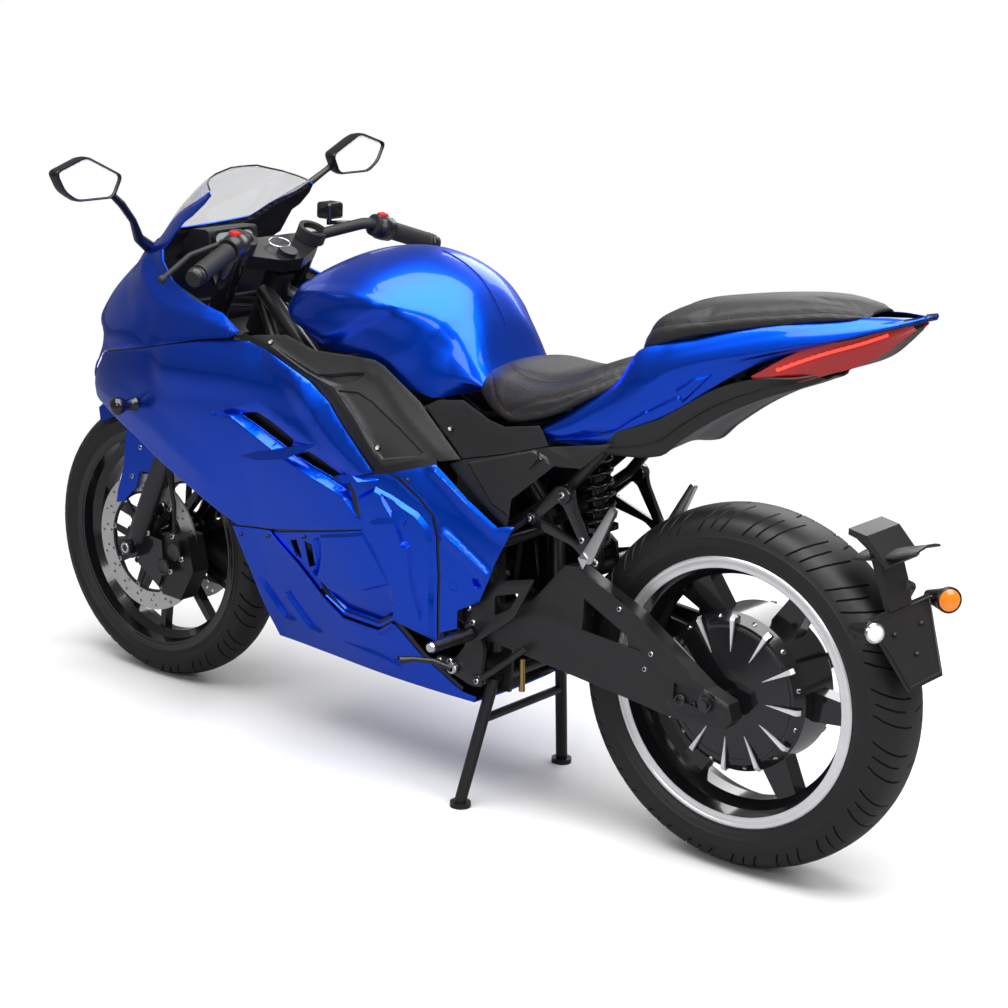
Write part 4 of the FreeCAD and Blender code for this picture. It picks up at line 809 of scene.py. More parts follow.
def belly():
    outline = [(1048, 418), (1029, 334), (1014, 239), (1001, 192), (775, 192), (600, 192), (492, 192), (486, 204),
               (520, 208), (598, 256), (655, 314), (692, 290), (781, 293), (821, 323), (875, 380), (939, 432)]
    reliefs = [
        ridge([(935, 428), (875, 376), (821, 318), (781, 287), (692, 284), (655, 310)], 5, 5, 30),
        plateau([(1012, 322), (983, 312), (930, 245), (945, 238), (971, 240), (1006, 300)], -7, 5),
        plateau([(945, 300), (922, 312), (856, 240), (872, 233), (900, 236), (940, 290)], -7, 5),
        plateau([(805, 236), (729, 240), (703, 238), (640, 228), (660, 216), (706, 216), (740, 226)], 5, 5),
    ]
    mesh = panel_mesh(skin, skin_u, skin_x, outline, reliefs, cell=8)
    panel_pair("belly_panel", ["blue", "plastic_fine"], mesh, shared=["belly_pan"])
    xs, low = [1001, 950, 860, 760, 640, 560, 492], 192
    verts = [at(x, skin(x, low).y * share, low - 4 * (1 - share * share))
             for x in xs for share in (-1, -0.6, -0.2, 0.2, 0.6, 1)]
    faces = [(a, d, c, b) for a, b, c, d in sheet_faces(len(xs), 6)]
    floor = new_piece("belly_floor", verts, faces, ["blue", "plastic_fine"], "chassis")
    if floor.data.polygons[0].normal.z > 0:
        floor.data.flip_normals()
    wall(floor, 0.003, 0)
    finish_piece(floor, ["belly_pan"])


class BIKE_OT_fairing(bpy.types.Operator):
    """Painted fairing panels with their creases, air duct and seams"""
    bl_idname = "bike.fairing"
    bl_label = "Fairing"

    def execute(self, context):
        side_fairing()
        nose_cowl()
        mid_fairing()
        belly()
        return {"FINISHED"}


# ---- lofted surfaces

def spline(values, v):
    k = min(max(int(math.floor(v)), 0), len(values) - 2)
    t = v - k
    a = values[k - 1] if k > 0 else 2 * values[0] - values[1]
    d = values[k + 2] if k + 2 < len(values) else 2 * values[-1] - values[-2]
    b, c = values[k], values[k + 1]
    return 0.5 * (2 * b + (c - a) * t + (2 * a - 5 * b + 4 * c - d) * t * t + (3 * b - a - 3 * c + d) * t ** 3)


def loft_surface(stations):
    # stations: (x, half section from the middle plane outwards); the surface is smooth over the middle plane
    rows = sorted(stations)
    count = len(rows[0][1])
    ys = [[(x, half[k][0]) for x, half in rows] for k in range(count)]
    zs = [[(x, half[k][1]) for x, half in rows] for k in range(count)]

    def surface(x, v):
        y_run = [between(table, x) for table in ys]
        z_run = [between(table, x) for table in zs]
        y_run, z_run = [-y_run[1]] + y_run, [z_run[1]] + z_run
        return Vector((x, max(spline(y_run, v + 1), 0.0), spline(z_run, v + 1)))
    surface.top = count - 1
    return surface


def v_of(surface, x, z):
    # girth value at which the surface passes height z at x
    low, high = 0.0, float(surface.top)
    for _ in range(22):
        mid = (low + high) / 2
        if surface(x, mid).z > z:
            low = mid
        else:
            high = mid
    return (low + high) / 2


GIRTH_SCALE = 70.0  # millimetres for one step between the points of a half section


def girth_mesh(surface, x_from, x_to, reliefs, cell):
    """One half of a lofted cover. Reliefs are written in (x, z) and turned into (x, girth)."""
    def flat(line):
        return [(x, v_of(surface, x, z) * GIRTH_SCALE) for x, z in line]

    def scaled(x, v):
        return surface(x, v / GIRTH_SCALE)
    top = surface.top * GIRTH_SCALE
    made = [build(*[flat(item) if isinstance(item, list) else item for item in rest]) for build, *rest in reliefs]
    return panel_mesh(scaled, same, same, [(x_from, 0.0), (x_to, 0.0), (x_to, top), (x_from, top)], made, cell=cell)


def ribbon(name, surface, lines, width, lift, finish, thick=0.0012, both=True, to_flat=None):
    # a thin flat strip that follows a surface, such as a seam, a gap or an edging
    verts, faces = [], []
    for side in ((1, -1) if both else (1,)):
        for line in lines:
            run = dense(line, 8.0)
            first = len(verts)
            for i, (x, z) in enumerate(run):
                xa, za = run[max(i - 1, 0)]
                xb, zb = run[min(i + 1, len(run) - 1)]
                if to_flat:
                    (x, z), (xa, za), (xb, zb) = to_flat(x, z), to_flat(xa, za), to_flat(xb, zb)
                a, b = surface(xa, za), surface(xb, zb)
                along = (b - a).normalized()
                mid = lifted(surface, x, z, lift)
                out = (lifted(surface, x, z, lift + 1) - mid).normalized()
                across = along.cross(out).normalized() * width / 2
                for place in (mid + across, mid - across):
                    verts.append(at(place.x, side * place.y, place.z))
            for i in range(len(run) - 1):
                a = first + 2 * i
                face = (a, a + 1, a + 3, a + 2)
                faces.append(face if side > 0 else face[::-1])
    piece = new_piece(name, verts, faces, finish, "chassis")
    wall(piece, thick, 0)
    finish_piece(piece)


def fairing_u(x, z):
    return skin_u(x, z), z


# ---- copies of small fasteners

def copies_group():
    # places one item at every point of a mesh, turned to the attribute named aim, as real geometry
    group = bpy.data.node_groups.new("Copies on points", "GeometryNodeTree")
    for label, kind in (("Geometry", "Geometry"), ("Item", "Object"), ("Size", "Float"), ("Turn", "Float")):
        group.interface.new_socket(name=label, in_out="INPUT", socket_type="NodeSocket" + kind)
    group.interface.new_socket(name="Geometry", in_out="OUTPUT", socket_type="NodeSocketGeometry")
    source, sink = group.nodes.new("NodeGroupInput"), group.nodes.new("NodeGroupOutput")
    given = source.outputs
    aim = add(group, "GeometryNodeInputNamedAttribute", {"Name": "aim"}, data_type="FLOAT_VECTOR")
    align = add(group, "FunctionNodeAlignRotationToVector", {"Vector": aim.outputs["Attribute"]}, axis="Z")
    chance = add(group, "FunctionNodeRandomValue", {"Seed": 7}, data_type="FLOAT")
    amount = add(group, "ShaderNodeMath", {0: chance.outputs[1], 1: given["Turn"]}, operation="MULTIPLY")
    about = add(group, "FunctionNodeAxisAngleToRotation", {"Axis": (0, 0, 1), "Angle": amount.outputs[0]})
    rotate = add(group, "FunctionNodeRotateRotation",
                 {"Rotation": align.outputs[0], "Rotate By": about.outputs[0]}, rotation_space="LOCAL")
    info = add(group, "GeometryNodeObjectInfo", {"Object": given["Item"]})
    place = add(group, "GeometryNodeInstanceOnPoints",
                {"Points": given["Geometry"], "Instance": info.outputs["Geometry"],
                 "Rotation": rotate.outputs[0], "Scale": given["Size"]})
    real = add(group, "GeometryNodeRealizeInstances", {"Geometry": place.outputs["Instances"]})
    feed(group, sink, {"Geometry": real.outputs["Geometry"]})
    return group


def bolt_item():
    # a button-head screw with a socket, head along +Z, 10 mm across
    count = 14
    rings = [(5.0, -1.2, 0), (5.0, 0.9, 0), (4.4, 2.1, 0), (2.7, 2.7, 0), (2.5, 2.7, 1), (2.2, 0.9, 1)]
    verts = []
    for radius, high, _ in rings:
        for k in range(count):
            a = 2 * math.pi * k / count
            verts.append((radius * math.cos(a) / 1000, radius * math.sin(a) / 1000, high / 1000))
    faces = ring_faces(len(rings), count)
    marks = [rings[r + 1][2] if r < 3 else 1 for r in range(len(rings) - 1) for _ in range(count)]
    faces.append(tuple((len(rings) - 1) * count + k for k in range(count)))
    marks.append(1)
    mesh = bpy.data.meshes.new("bolt_item")
    mesh.from_pydata(verts, [], faces)
    return mesh, marks


def place_copies(name, spots, item_mesh, marks, finishes, body, size=1.0, turn=6.28):
    """Spots are (place, aim) in scene metres."""
    carrier_mesh = bpy.data.meshes.new(name)
    carrier_mesh.from_pydata([tuple(p) for p, _ in spots], [], [])
    aim = carrier_mesh.attributes.new("aim", "FLOAT_VECTOR", "POINT")
    aim.data.foreach_set("vector", [c for _, n in spots for c in n])
    for finish in finishes:
        item_mesh.materials.append(MATERIALS[finish])
    item_mesh.polygons.foreach_set("material_index", marks)
    item = bpy.data.objects.new(name + "_item", item_mesh)
    bpy.context.scene.collection.objects.link(item)
    piece = bpy.data.objects.new(name, carrier_mesh)
    bpy.context.scene.collection.objects.link(piece)
    if "copies" not in MATERIALS:
        MATERIALS["copies"] = copies_group()
    modifier = piece.modifiers.new("copies", "NODES")
    modifier.node_group = MATERIALS["copies"]
    given = {"Item": item, "Size": float(size), "Turn": float(turn)}
    for socket in modifier.node_group.interface.items_tree:
        if socket.in_out == "INPUT" and socket.name in given:
            modifier[socket.identifier] = given[socket.name]
    apply_modifiers(piece)
    if not piece.data.materials:
        for finish in finishes:
            piece.data.materials.append(MATERIALS[finish])
    bpy.data.objects.remove(item)
    piece["wanted_body"] = body
    if len(piece.data.polygons) == 0:
        raise RuntimeError(name + " has no faces")
    finish_piece(piece)


def screws(name, spots, size, finishes=("silver", "gloss_black"), body="chassis"):
    mesh, marks = bolt_item()
    place_copies(name, spots, mesh, marks, finishes, body, size)


def surface_spot(surface, u, v, lift, side):
    place = lifted(surface, u, v, lift)
    out = (lifted(surface, u, v, lift + 1) - place).normalized()
    return at(place.x, side * place.y, place.z), Vector((out.x, side * out.y, out.z))


# ---- tank

TANK = [(508, [(0, 772), (56, 770), (84, 764), (96, 758), (98, 750)]),
        (526, [(0, 806), (66, 800), (92, 782), (102, 764), (100, 750)]),
        (556, [(0, 866), (60, 858), (100, 818), (116, 772), (112, 742)]),
        (604, [(0, 924), (64, 912), (114, 864), (132, 796), (134, 732)]),
        (668, [(0, 958), (82, 938), (150, 886), (151, 824), (149, 752)]),
        (740, [(0, 970), (92, 946), (158, 896), (158, 838), (154, 786)]),
        (840, [(0, 954), (92, 930), (146, 886), (157, 836), (154, 788)]),
        (930, [(0, 916), (84, 900), (122, 866), (138, 836), (136, 820)]),
        (972, [(0, 878), (60, 870), (92, 852), (104, 840), (102, 832)]),
        (984, [(0, 846), (48, 842), (76, 836), (86, 832), (86, 828)])]


def tank():
    surface = loft_surface(TANK)
    reliefs = [
        (plateau, [(1000, 884), (921, 886), (845, 900), (778, 908), (717, 903), (666, 884), (699, 861), (739, 840),
                   (782, 816), (840, 792), (1000, 792)], 7, 22),
        (ridge, [(660, 880), (627, 872), (602, 861), (578, 846), (564, 828), (549, 803), (540, 770)], 3.5, 60, 34),
        (ridge, [(604, 853), (622, 833), (651, 812), (684, 792)], 3, 30, 60),
    ]
    mesh = girth_mesh(surface, TANK[0][0], TANK[-1][0], reliefs, cell=7)
    whole_panel("tank_shell", ["blue", "plastic"], mesh, ["tank_cover"])
    ribbon("tank_seam", surface, [[(698, 0.02), (640, 0.02), (580, 0.02), (548, 0.02)]], 1.2, 0.25,
           "seam_blue", both=False)


# ---- seats

RIDER = [(538, [(0, 774), (60, 772), (84, 764), (90, 758), (86, 752), (60, 750), (0, 750)]),
         (524, [(0, 792), (72, 786), (98, 770), (104, 760), (98, 746), (70, 742), (0, 742)]),
         (480, [(0, 802), (92, 796), (120, 768), (127, 742), (116, 722), (80, 726), (0, 740)]),
         (430, [(0, 800), (98, 795), (130, 764), (139, 736), (128, 712), (84, 722), (0, 740)]),
         (380, [(0, 799), (102, 795), (134, 770), (142, 746), (130, 724), (84, 732), (0, 748)]),
         (330, [(0, 812), (104, 806), (132, 782), (138, 762), (126, 744), (80, 752), (0, 768)]),
         (280, [(0, 834), (96, 826), (120, 804), (126, 788), (114, 772), (76, 780), (0, 796)]),
         (236, [(0, 851), (80, 843), (102, 824), (108, 808), (98, 796), (70, 804), (0, 818)]),
         (206, [(0, 858), (60, 852), (84, 840), (92, 830), (84, 822), (56, 828), (0, 838)])]
PILLION = [(207, [(0, 876), (48, 874), (64, 872), (72, 868), (64, 864), (40, 864), (0, 866)]),
           (192, [(0, 914), (62, 908), (84, 894), (93, 880), (86, 870), (56, 868), (0, 872)]),
           (168, [(0, 944), (76, 934), (98, 914), (105, 894), (96, 878), (62, 878), (0, 884)]),
           (120, [(0, 960), (82, 950), (102, 932), (108, 912), (98, 897), (62, 898), (0, 906)]),
           (60, [(0, 972), (78, 963), (96, 946), (101, 928), (92, 915), (58, 918), (0, 926)]),
           (0, [(0, 983), (72, 975), (88, 960), (94, 943), (86, 930), (54, 933), (0, 942)]),
           (-60, [(0, 992), (64, 985), (78, 970), (84, 955), (76, 943), (48, 947), (0, 955)]),
           (-120, [(0, 1000), (54, 992), (68, 980), (74, 966), (66, 956), (42, 960), (0, 966)]),
           (-176, [(0, 998), (42, 991), (54, 983), (59, 973), (52, 965), (34, 969), (0, 974)]),
           (-202, [(0, 986), (28, 984), (38, 980), (42, 976), (36, 971), (24, 973), (0, 976)])]


SEAT_ROWS, SEAT_COLUMNS = 48, 22
SEAT_SHRINK = 0.7  # share of the cap by which a pad starts smaller
SWELL_STEPS = 20
CHANNEL_WIDE, CHANNEL_DEEP = 0.008, 0.0016  # metres


def seat_body(name, surface, stations):
    back, front = stations[-1][0], stations[0][0]
    xs = [back + (front - back) * k / SEAT_ROWS for k in range(SEAT_ROWS + 1)]
    vs = [surface.top * k / SEAT_COLUMNS for k in range(SEAT_COLUMNS + 1)]
    verts, ring = [], 2 * len(vs) - 2
    for x in xs:
        half = [surface(x, v) for v in vs]
        verts += [at(x, p.y, p.z) for p in half] + [at(x, -p.y, p.z) for p in reversed(half[1:-1])]
    faces = ring_faces(len(xs), ring)
    faces.append(tuple(range(ring)))
    faces.append(tuple((len(xs) - 1) * ring + k for k in reversed(range(ring))))
    piece = new_piece(name, verts, faces, "hide", "chassis", sharp=180)
    outward_normals(piece, 0.0003)
    remesh = piece.modifiers.new("remesh", "REMESH")
    remesh.mode = "VOXEL"
    remesh.voxel_size = 0.006
    ease = piece.modifiers.new("ease", "SMOOTH")
    ease.factor = 0.5
    ease.iterations = 3
    apply_modifiers(piece)
    return piece


def swell_pad(piece, cap):
    # the pad starts slightly smaller and swells back, at most by cap, while its base is held
    mesh = piece.data
    mesh.update()
    start = [v.co - v.normal * cap * SEAT_SHRINK for v in mesh.vertices]
    down = [i for i, v in enumerate(mesh.vertices) if v.normal.z < -0.35]
    for vertex, place in zip(mesh.vertices, start):
        vertex.co = place
    held = piece.vertex_groups.new(name="base")
    held.add(down, 1.0, "REPLACE")
    scene = bpy.context.scene
    cloth = piece.modifiers.new("cloth", "CLOTH")
    cloth.settings.quality = 5
    cloth.settings.use_pressure = True
    cloth.settings.uniform_pressure_force = 4
    cloth.settings.effector_weights.gravity = 0
    cloth.settings.vertex_group_mass = "base"
    cloth.point_cache.frame_start = 1
    cloth.point_cache.frame_end = SWELL_STEPS
    for step in range(1, SWELL_STEPS + 1):
        scene.frame_set(step)
    swollen = piece.evaluated_get(bpy.context.evaluated_depsgraph_get())
    moved = [v.co.copy() for v in swollen.data.vertices]
    piece.modifiers.clear()
    scene.frame_set(1)
    for vertex, place, new in zip(mesh.vertices, start, moved):
        step = new - place
        vertex.co = place + step * min(1.0, cap / max(step.length, 1e-9))
    piece.vertex_groups.clear()
    finer = piece.modifiers.new("finer", "SUBSURF")
    finer.levels = 1
    finer.render_levels = 1
    apply_modifiers(piece)
    piece.data.polygons.foreach_set("use_smooth", [True] * len(piece.data.polygons))


def seam_runs(piece, surface, seams):
    # runs of (place, normal) on the pad, for both sides
    tree = BVHTree.FromObject(piece, bpy.context.evaluated_depsgraph_get())
    runs = []
    for line in seams:
        for side in (1, -1):
            run = []
            for x, v in dense([(x, v * 100) for x, v in line], 4.0):
                place = surface(x, v / 100)
                outer = lifted(surface, x, v / 100, 12) if v > 0.5 else place + Vector((0, 0, 12))
                origin = at(outer.x, side * outer.y, outer.z)
                target = at(place.x, side * place.y, place.z)
                found = tree.ray_cast(origin, (target - origin).normalized(), 0.05)
                if found[0] is not None:
                    run.append((found[0], found[1]))
            runs.append(run)
    return runs


def press_seams(piece, runs):
    # sewn channels press the hide in along each seam
    places = [place for run in runs for place, _ in run]
    kd = KDTree(len(places) or 1)
    for i, place in enumerate(places):
        kd.insert(place, i)
    kd.balance()
    for vertex in piece.data.vertices:
        _, _, far = kd.find(vertex.co)
        if far < CHANNEL_WIDE:
            vertex.co -= vertex.normal * CHANNEL_DEEP * (1 - far / CHANNEL_WIDE)
    piece.data.update()


def cushion(name, stations, node, cap, seams):
    """A padded seat: a lofted body that swells as cloth, with sewn channels and stitches."""
    surface = loft_surface(stations)
    piece = seat_body(name, surface, stations)
    swell_pad(piece, cap)
    runs = seam_runs(piece, surface, seams)
    press_seams(piece, runs)
    finish_piece(piece, [node])
    spots = []
    for run in runs:
        for (a, na), (b, _) in zip(run, run[1:]):
            along = b - a
            if 0.001 < along.length < 0.02:
                spots.append(((a + b) / 2 - na * 0.0009, along.normalized()))
    stitch, marks = stitch_item()
    place_copies(name + "_stitches", spots, stitch, marks, ["thread"], "chassis", turn=0.0)


def stitch_item():
    # one stitch, 2.6 mm long, lying along Z
    verts = []
    for z, radius in ((-1.3, 0.25), (-0.9, 0.5), (0.9, 0.5), (1.3, 0.25)):
        for k in range(6):
            a = math.pi / 3 * k
            verts.append((radius * math.cos(a) / 1000, radius * math.sin(a) / 1000, z / 1000))
    faces = ring_faces(4, 6) + [tuple(reversed(range(6))), tuple(range(18, 24))]
    mesh = bpy.data.meshes.new("stitch_item")
    mesh.from_pydata(verts, [], faces)
    return mesh, [0] * len(faces)


class BIKE_OT_seats(bpy.types.Operator):
    """Rider's and passenger's seats as swollen pads with sewn seams"""
    bl_idname = "bike.seats"
    bl_label = "Seats"

    def execute(self, context):
        cushion("rider_pad", RIDER, "rider_seat", 0.005,
                [[(530, 1.0), (500, 1.35), (470, 2.6), (444, 3.2)],
                 [(444, 3.2), (420, 2.6), (380, 2.0), (320, 1.7), (260, 1.6), (222, 1.6)],
                 [(500, 0.55), (470, 0.8), (430, 0.95), (380, 0.95), (330, 0.9)]])
        cushion("pillion_pad", PILLION, "pillion_seat", 0.005,
                [[(196, 1.6), (150, 1.9), (60, 2.1), (-60, 2.1), (-150, 2.0), (-192, 1.9)]])
        return {"FINISHED"}


# ---- tail

TAIL_TOP = [(-283, 985), (-270, 982), (-213, 978), (-136, 967), (-39, 950), (80, 911), (189, 873), (228, 818),
            (300, 766), (362, 724)]
TAIL_MID = [(-283, 983), (-250, 972), (-176, 946), (-44, 905), (116, 856), (180, 806), (249, 766), (310, 728),
            (362, 708)]
TAIL_LOW = [(-283, 981), (-198, 951), (-123, 917), (-43, 888), (13, 858), (78, 810), (92, 796), (181, 744),
            (235, 706), (300, 698), (362, 692)]
TAIL_Y = [(-283, 20), (-268, 32), (-215, 54), (-120, 76), (0, 98), (112, 112), (228, 120), (300, 126), (362, 128)]


def tail_surface(x, v):
    # v runs from 0 at the upper inner edge over the crease at 1 to 2 at the lower edge
    top, mid, low, y = (between(table, x) for table in (TAIL_TOP, TAIL_MID, TAIL_LOW, TAIL_Y))
    if v <= 1:
        t = max(v, 0.0)
        bend = math.sin(t * math.pi / 2)
        return Vector((x, y - 20 + 20 * bend, top + (mid - top) * t ** 1.5))
    t = v - 1
    return Vector((x, y - 13 * t ** 1.4, mid + (low - mid) * t))


def tail_panels():
    def scaled(u, v):
        return tail_surface(u, v / 100)
    reliefs = [
        ridge([(-270, 96), (-176, 100), (-44, 100), (116, 100), (160, 100), (176, 60), (184, 20)], 4, 40, 40),
        valley([(362, 150), (300, 140), (240, 130), (180, 128), (110, 140)],
               [(362, 176), (300, 172), (240, 168), (180, 168), (100, 176)], -6),
        plateau([(112, 150), (78, 140), (40, 150), (70, 176), (100, 186)], 5, 6),
    ]
    mesh = panel_mesh(scaled, same, same, [(-283, 0), (362, 0), (362, 200), (-283, 200)], reliefs, cell=7.5)
    panel_pair("tail_panel", ["blue", "plastic"], mesh, ["tail_cover"])


LAMP_TOP = [(-266, 973), (-206, 954), (-98, 913), (-20, 862)]
LAMP_LOW = [(-266, 962), (-206, 909), (-130, 874), (-82, 857), (-18, 852)]


def lamp_surface(x, v):
    top, low, y = between(LAMP_TOP, x), between(LAMP_LOW, x), between(TAIL_Y, x)
    t = max(v / 100, 0.0)
    return Vector((x, y - 7 - 16 * t ** 1.6, top + (low - top) * t))


def tail_lamp():
    mesh = panel_mesh(lamp_surface, same, same, [(-266, 0), (-20, 0), (-20, 100), (-266, 100)],
                      [ridge([(-250, 40), (-150, 46), (-40, 60)], 2.5, 30, 30)], cell=6)
    panel_pair("lamp_lens", ["lamp_red", "plastic"], mesh, shared=["tail_lamp"])
    # a bridge across the middle plane joins both lenses below the seat's end
    xs = [-266, -240, -200, -150, -100, -60, -22]
    verts = []
    for x in xs:
        p = lamp_surface(x, 98)
        for share in (-1, -0.5, 0, 0.5, 1):
            verts.append(at(x, p.y * share, p.z - 1 + 2 * (1 - share * share)))
    bridge = new_piece("lamp_bridge", verts, sheet_faces(len(xs), 5), "plastic", "chassis")
    if bridge.data.polygons[0].normal.z > 0:
        bridge.data.flip_normals()
    wall(bridge, 0.003, 0)
    finish_piece(bridge)
    spots = [surface_spot(lamp_surface, -62 - 168 * k / 15, 34 - 8 * k / 15, 0.6, side)
             for side in (1, -1) for k in range(16)]
    mesh, marks = bolt_item()
    place_copies("lamp_leds", spots, mesh, [0] * len(marks), ["red_glow"], "chassis", size=0.55)
    ribbon("lamp_light", lamp_surface, [[(-60, 36), (-140, 31), (-232, 26)]], 4.5, 0.5, "red_glow", thick=0.0015)


TRAY = [(300, [(0, 700), (60, 696), (96, 694), (106, 706), (104, 722)]),
        (240, [(0, 696), (60, 694), (94, 692), (108, 706), (112, 728)]),
        (146, [(0, 712), (54, 708), (86, 706), (98, 730), (106, 764)]),
        (110, [(0, 740), (50, 736), (84, 738), (94, 760), (104, 786)]),
        (41, [(0, 792), (46, 786), (74, 788), (86, 808), (94, 832)]),
        (-30, [(0, 828), (40, 822), (62, 828), (74, 842), (84, 858)]),
        (-90, [(0, 852), (32, 848), (50, 854), (60, 860), (70, 866)]),
        (-122, [(0, 866), (24, 864), (38, 868), (46, 870), (56, 874)])]


def tray():
    surface = loft_surface(TRAY)

    def scaled(u, v):
        return surface(u, v / 60)
    mesh = panel_mesh(scaled, same, same, [(-122, 0), (300, 0), (300, 240), (-122, 240)],
                      [ridge([(296, 124), (146, 120), (41, 122), (-110, 120)], 5, 16, 30),
                       ridge([(250, 178), (110, 182), (-20, 180)], 3, 12, 12)], cell=9)
    whole_panel("tail_tray", ["plastic"], mesh, ["tail_undertray"])


class BIKE_OT_tank_and_tail(bpy.types.Operator):
    """Tank cover, tail panels, tail lamp and the black tray below them"""
    bl_idname = "bike.tank_and_tail"
    bl_label = "Tank and tail"

    def execute(self, context):
        tank()
        tail_panels()
        tail_lamp()
        tray()
        return {"FINISHED"}


# ---- black side covers

def side_covers():
    outline = [(1014, 789), (960, 801), (902, 808), (834, 790), (760, 790), (709, 788), (688, 780), (609, 727),
               (562, 681), (519, 640), (548, 633), (592, 628), (660, 606), (668, 618), (720, 676), (812, 740),
               (900, 768), (996, 789)]
    reliefs = [
        plateau([(769, 730), (726, 732), (696, 720), (634, 681), (583, 644), (593, 636), (655, 622), (688, 656),
                 (739, 708)], -4, 3),
        plateau([(825, 750), (793, 754), (751, 762), (716, 766), (735, 748), (769, 740), (800, 745)], -7, 5),
        ridge([(940, 790), (838, 752), (769, 732), (715, 684), (668, 630)], 3, 16, 8),
        ridge([(716, 766), (690, 762), (640, 712), (560, 650)], 2, 14, 30),
    ]
    mesh = panel_mesh(lambda u, z: lifted(skin, u, z, -4.3), skin_u, skin_x, outline, reliefs, cell=7)
    panel_pair("cover_front", ["plastic"], mesh, ["side_cover"])


SEAT_SIDE = [(600, 157, 152), (500, 150, 143), (400, 145, 137), (300, 136, 127), (210, 124, 113)]


def seat_side(x, z):
    low = between(sorted((row[0], row[1]) for row in SEAT_SIDE), x)
    high = between(sorted((row[0], row[2]) for row in SEAT_SIDE), x)
    return Vector((x, low + (high - low) * (z - 520) / 220, z))


def rear_covers():
    upper = [(602, 719), (574, 735), (524, 742), (492, 728), (465, 716), (433, 710), (363, 723), (344, 691), (430, 663),
             (519, 640), (556, 676)]
    reliefs = [ridge([(600, 722), (560, 726), (505, 722), (470, 706), (430, 700), (368, 714)], 2.5, 8, 20)]
    mesh = panel_mesh(seat_side, same, same, upper, reliefs, cell=7)
    panel_pair("cover_rear", ["plastic"], mesh, ["seat_cover"])
    lower = [(519, 637), (430, 661), (344, 689), (224, 712), (278, 662), (330, 658), (409, 588), (418, 534), (485, 575),
             (546, 625)]
    reliefs = [
        plateau([(512, 634), (469, 648), (372, 680), (345, 672), (336, 660), (400, 600), (416, 556), (450, 569),
                 (492, 616), (501, 628)], 3, 4),
        plateau([(366, 682), (350, 664), (379, 642), (362, 666)], -7, 3),
        ridge([(344, 686), (300, 676), (240, 704)], 3, 10, 12),
    ]
    mesh = panel_mesh(seat_side, same, same, lower, reliefs, cell=7)
    panel_pair("cover_low", ["plastic"], mesh, ["seat_cover"])


class BIKE_OT_covers(bpy.types.Operator):
    """Matt black covers below the tank and the seat, with their screws"""
    bl_idname = "bike.covers"
    bl_label = "Side covers"

    def execute(self, context):
        side_covers()
        rear_covers()
        spots, small = [], []
        for side in (1, -1):
            spots.append(surface_spot(skin, 667, 642, -7.0, side))
            spots.append(surface_spot(skin, 930, 791, -3.5, side))
            spots.append(surface_spot(seat_side, 545, 689, 1.2, side))
            spots.append(surface_spot(seat_side, 357, 669, -4.5, side))
            for x, z in ((1029, 404), (952, 417), (846, 441), (601, 594), (662, 238)):
                small.append(surface_spot(skin, skin_u(x, z), z, 1.0, side))
        screws("cover_screws", spots, 1.25, ["gloss_black", "white_mark"])
        screws("panel_screws", small, 0.75, ["dark_steel", "gloss_black"])
        backs = [[(1018, 780), (1114, 762), (1271, 728), (1404, 692), (1470, 664)],
                 [(1040, 421), (935, 430), (804, 462), (694, 488)],
                 [(692, 490), (702, 556), (718, 584), (690, 594), (640, 602), (556, 628)],
                 [(939, 430), (875, 382), (821, 326), (781, 296), (692, 293), (655, 316), (598, 256), (520, 206)],
                 [(541, 500), (541, 428), (556, 300)], [(541, 500), (550, 535), (578, 563), (624, 596)],
                 [(660, 602), (724, 674), (816, 742), (903, 769), (1000, 790)]]
        ribbon("seam_backs", skin, backs, 22, -4.2, "plastic_fine", to_flat=fairing_u, thick=0.002)
        return {"FINISHED"}


# ---- wheels

REAR_TYRE = [(0, 312), (18, 311), (38, 307), (56, 297), (66, 283), (70, 266), (66, 247), (58, 233), (51, 224),
             (47, 221), (0, 221)]
FRONT_TYRE = [(0, 288), (16, 286.5), (31, 282), (44, 274), (51, 264), (54, 253), (51, 241), (46, 231), (40, 224),
              (36, 221), (0, 221)]
REAR_AXLE = (0, 316)
FRONT_AXLE = (1409, 288)


def arc_table(half):
    # places along the half section by the length run from the crown: (length, y, radius)
    run, length, table = [], 0.0, []
    for k in range((len(half) - 1) * 8 + 1):
        run.append((spline([p[0] for p in half], k / 8), spline([p[1] for p in half], k / 8)))
    for k, (y, r) in enumerate(run):
        if k:
            length += math.hypot(y - run[k - 1][0], r - run[k - 1][1])
        table.append((length, y, r))
    return table


def tyre_place(table, crown, centre, u, v, lift, turn):
    far = abs(v)
    y = straight(table, far, 1)
    r = straight(table, far, 2)
    dy = straight(table, far + 1, 1) - straight(table, far - 1, 1)
    dr = straight(table, far + 1, 2) - straight(table, far - 1, 2)
    long = math.hypot(dy, dr) or 1.0
    if far < 1:
        dy, dr, long = 1.0, 0.0, 1.0
    y, r = y - lift * dr / long, r + lift * dy / long
    angle = turn + u / crown
    return at(centre[0] + r * math.sin(angle), math.copysign(y, v), centre[1] + r * math.cos(angle))


def straight(table, s, index):
    for a, b in zip(table, table[1:]):
        if s <= b[0]:
            share = (s - a[0]) / (b[0] - a[0] or 1.0)
            return a[index] + (b[index] - a[index]) * share
    return table[-1][index]


def flat_plane(u, v):
    return Vector((u, 0.0, v))


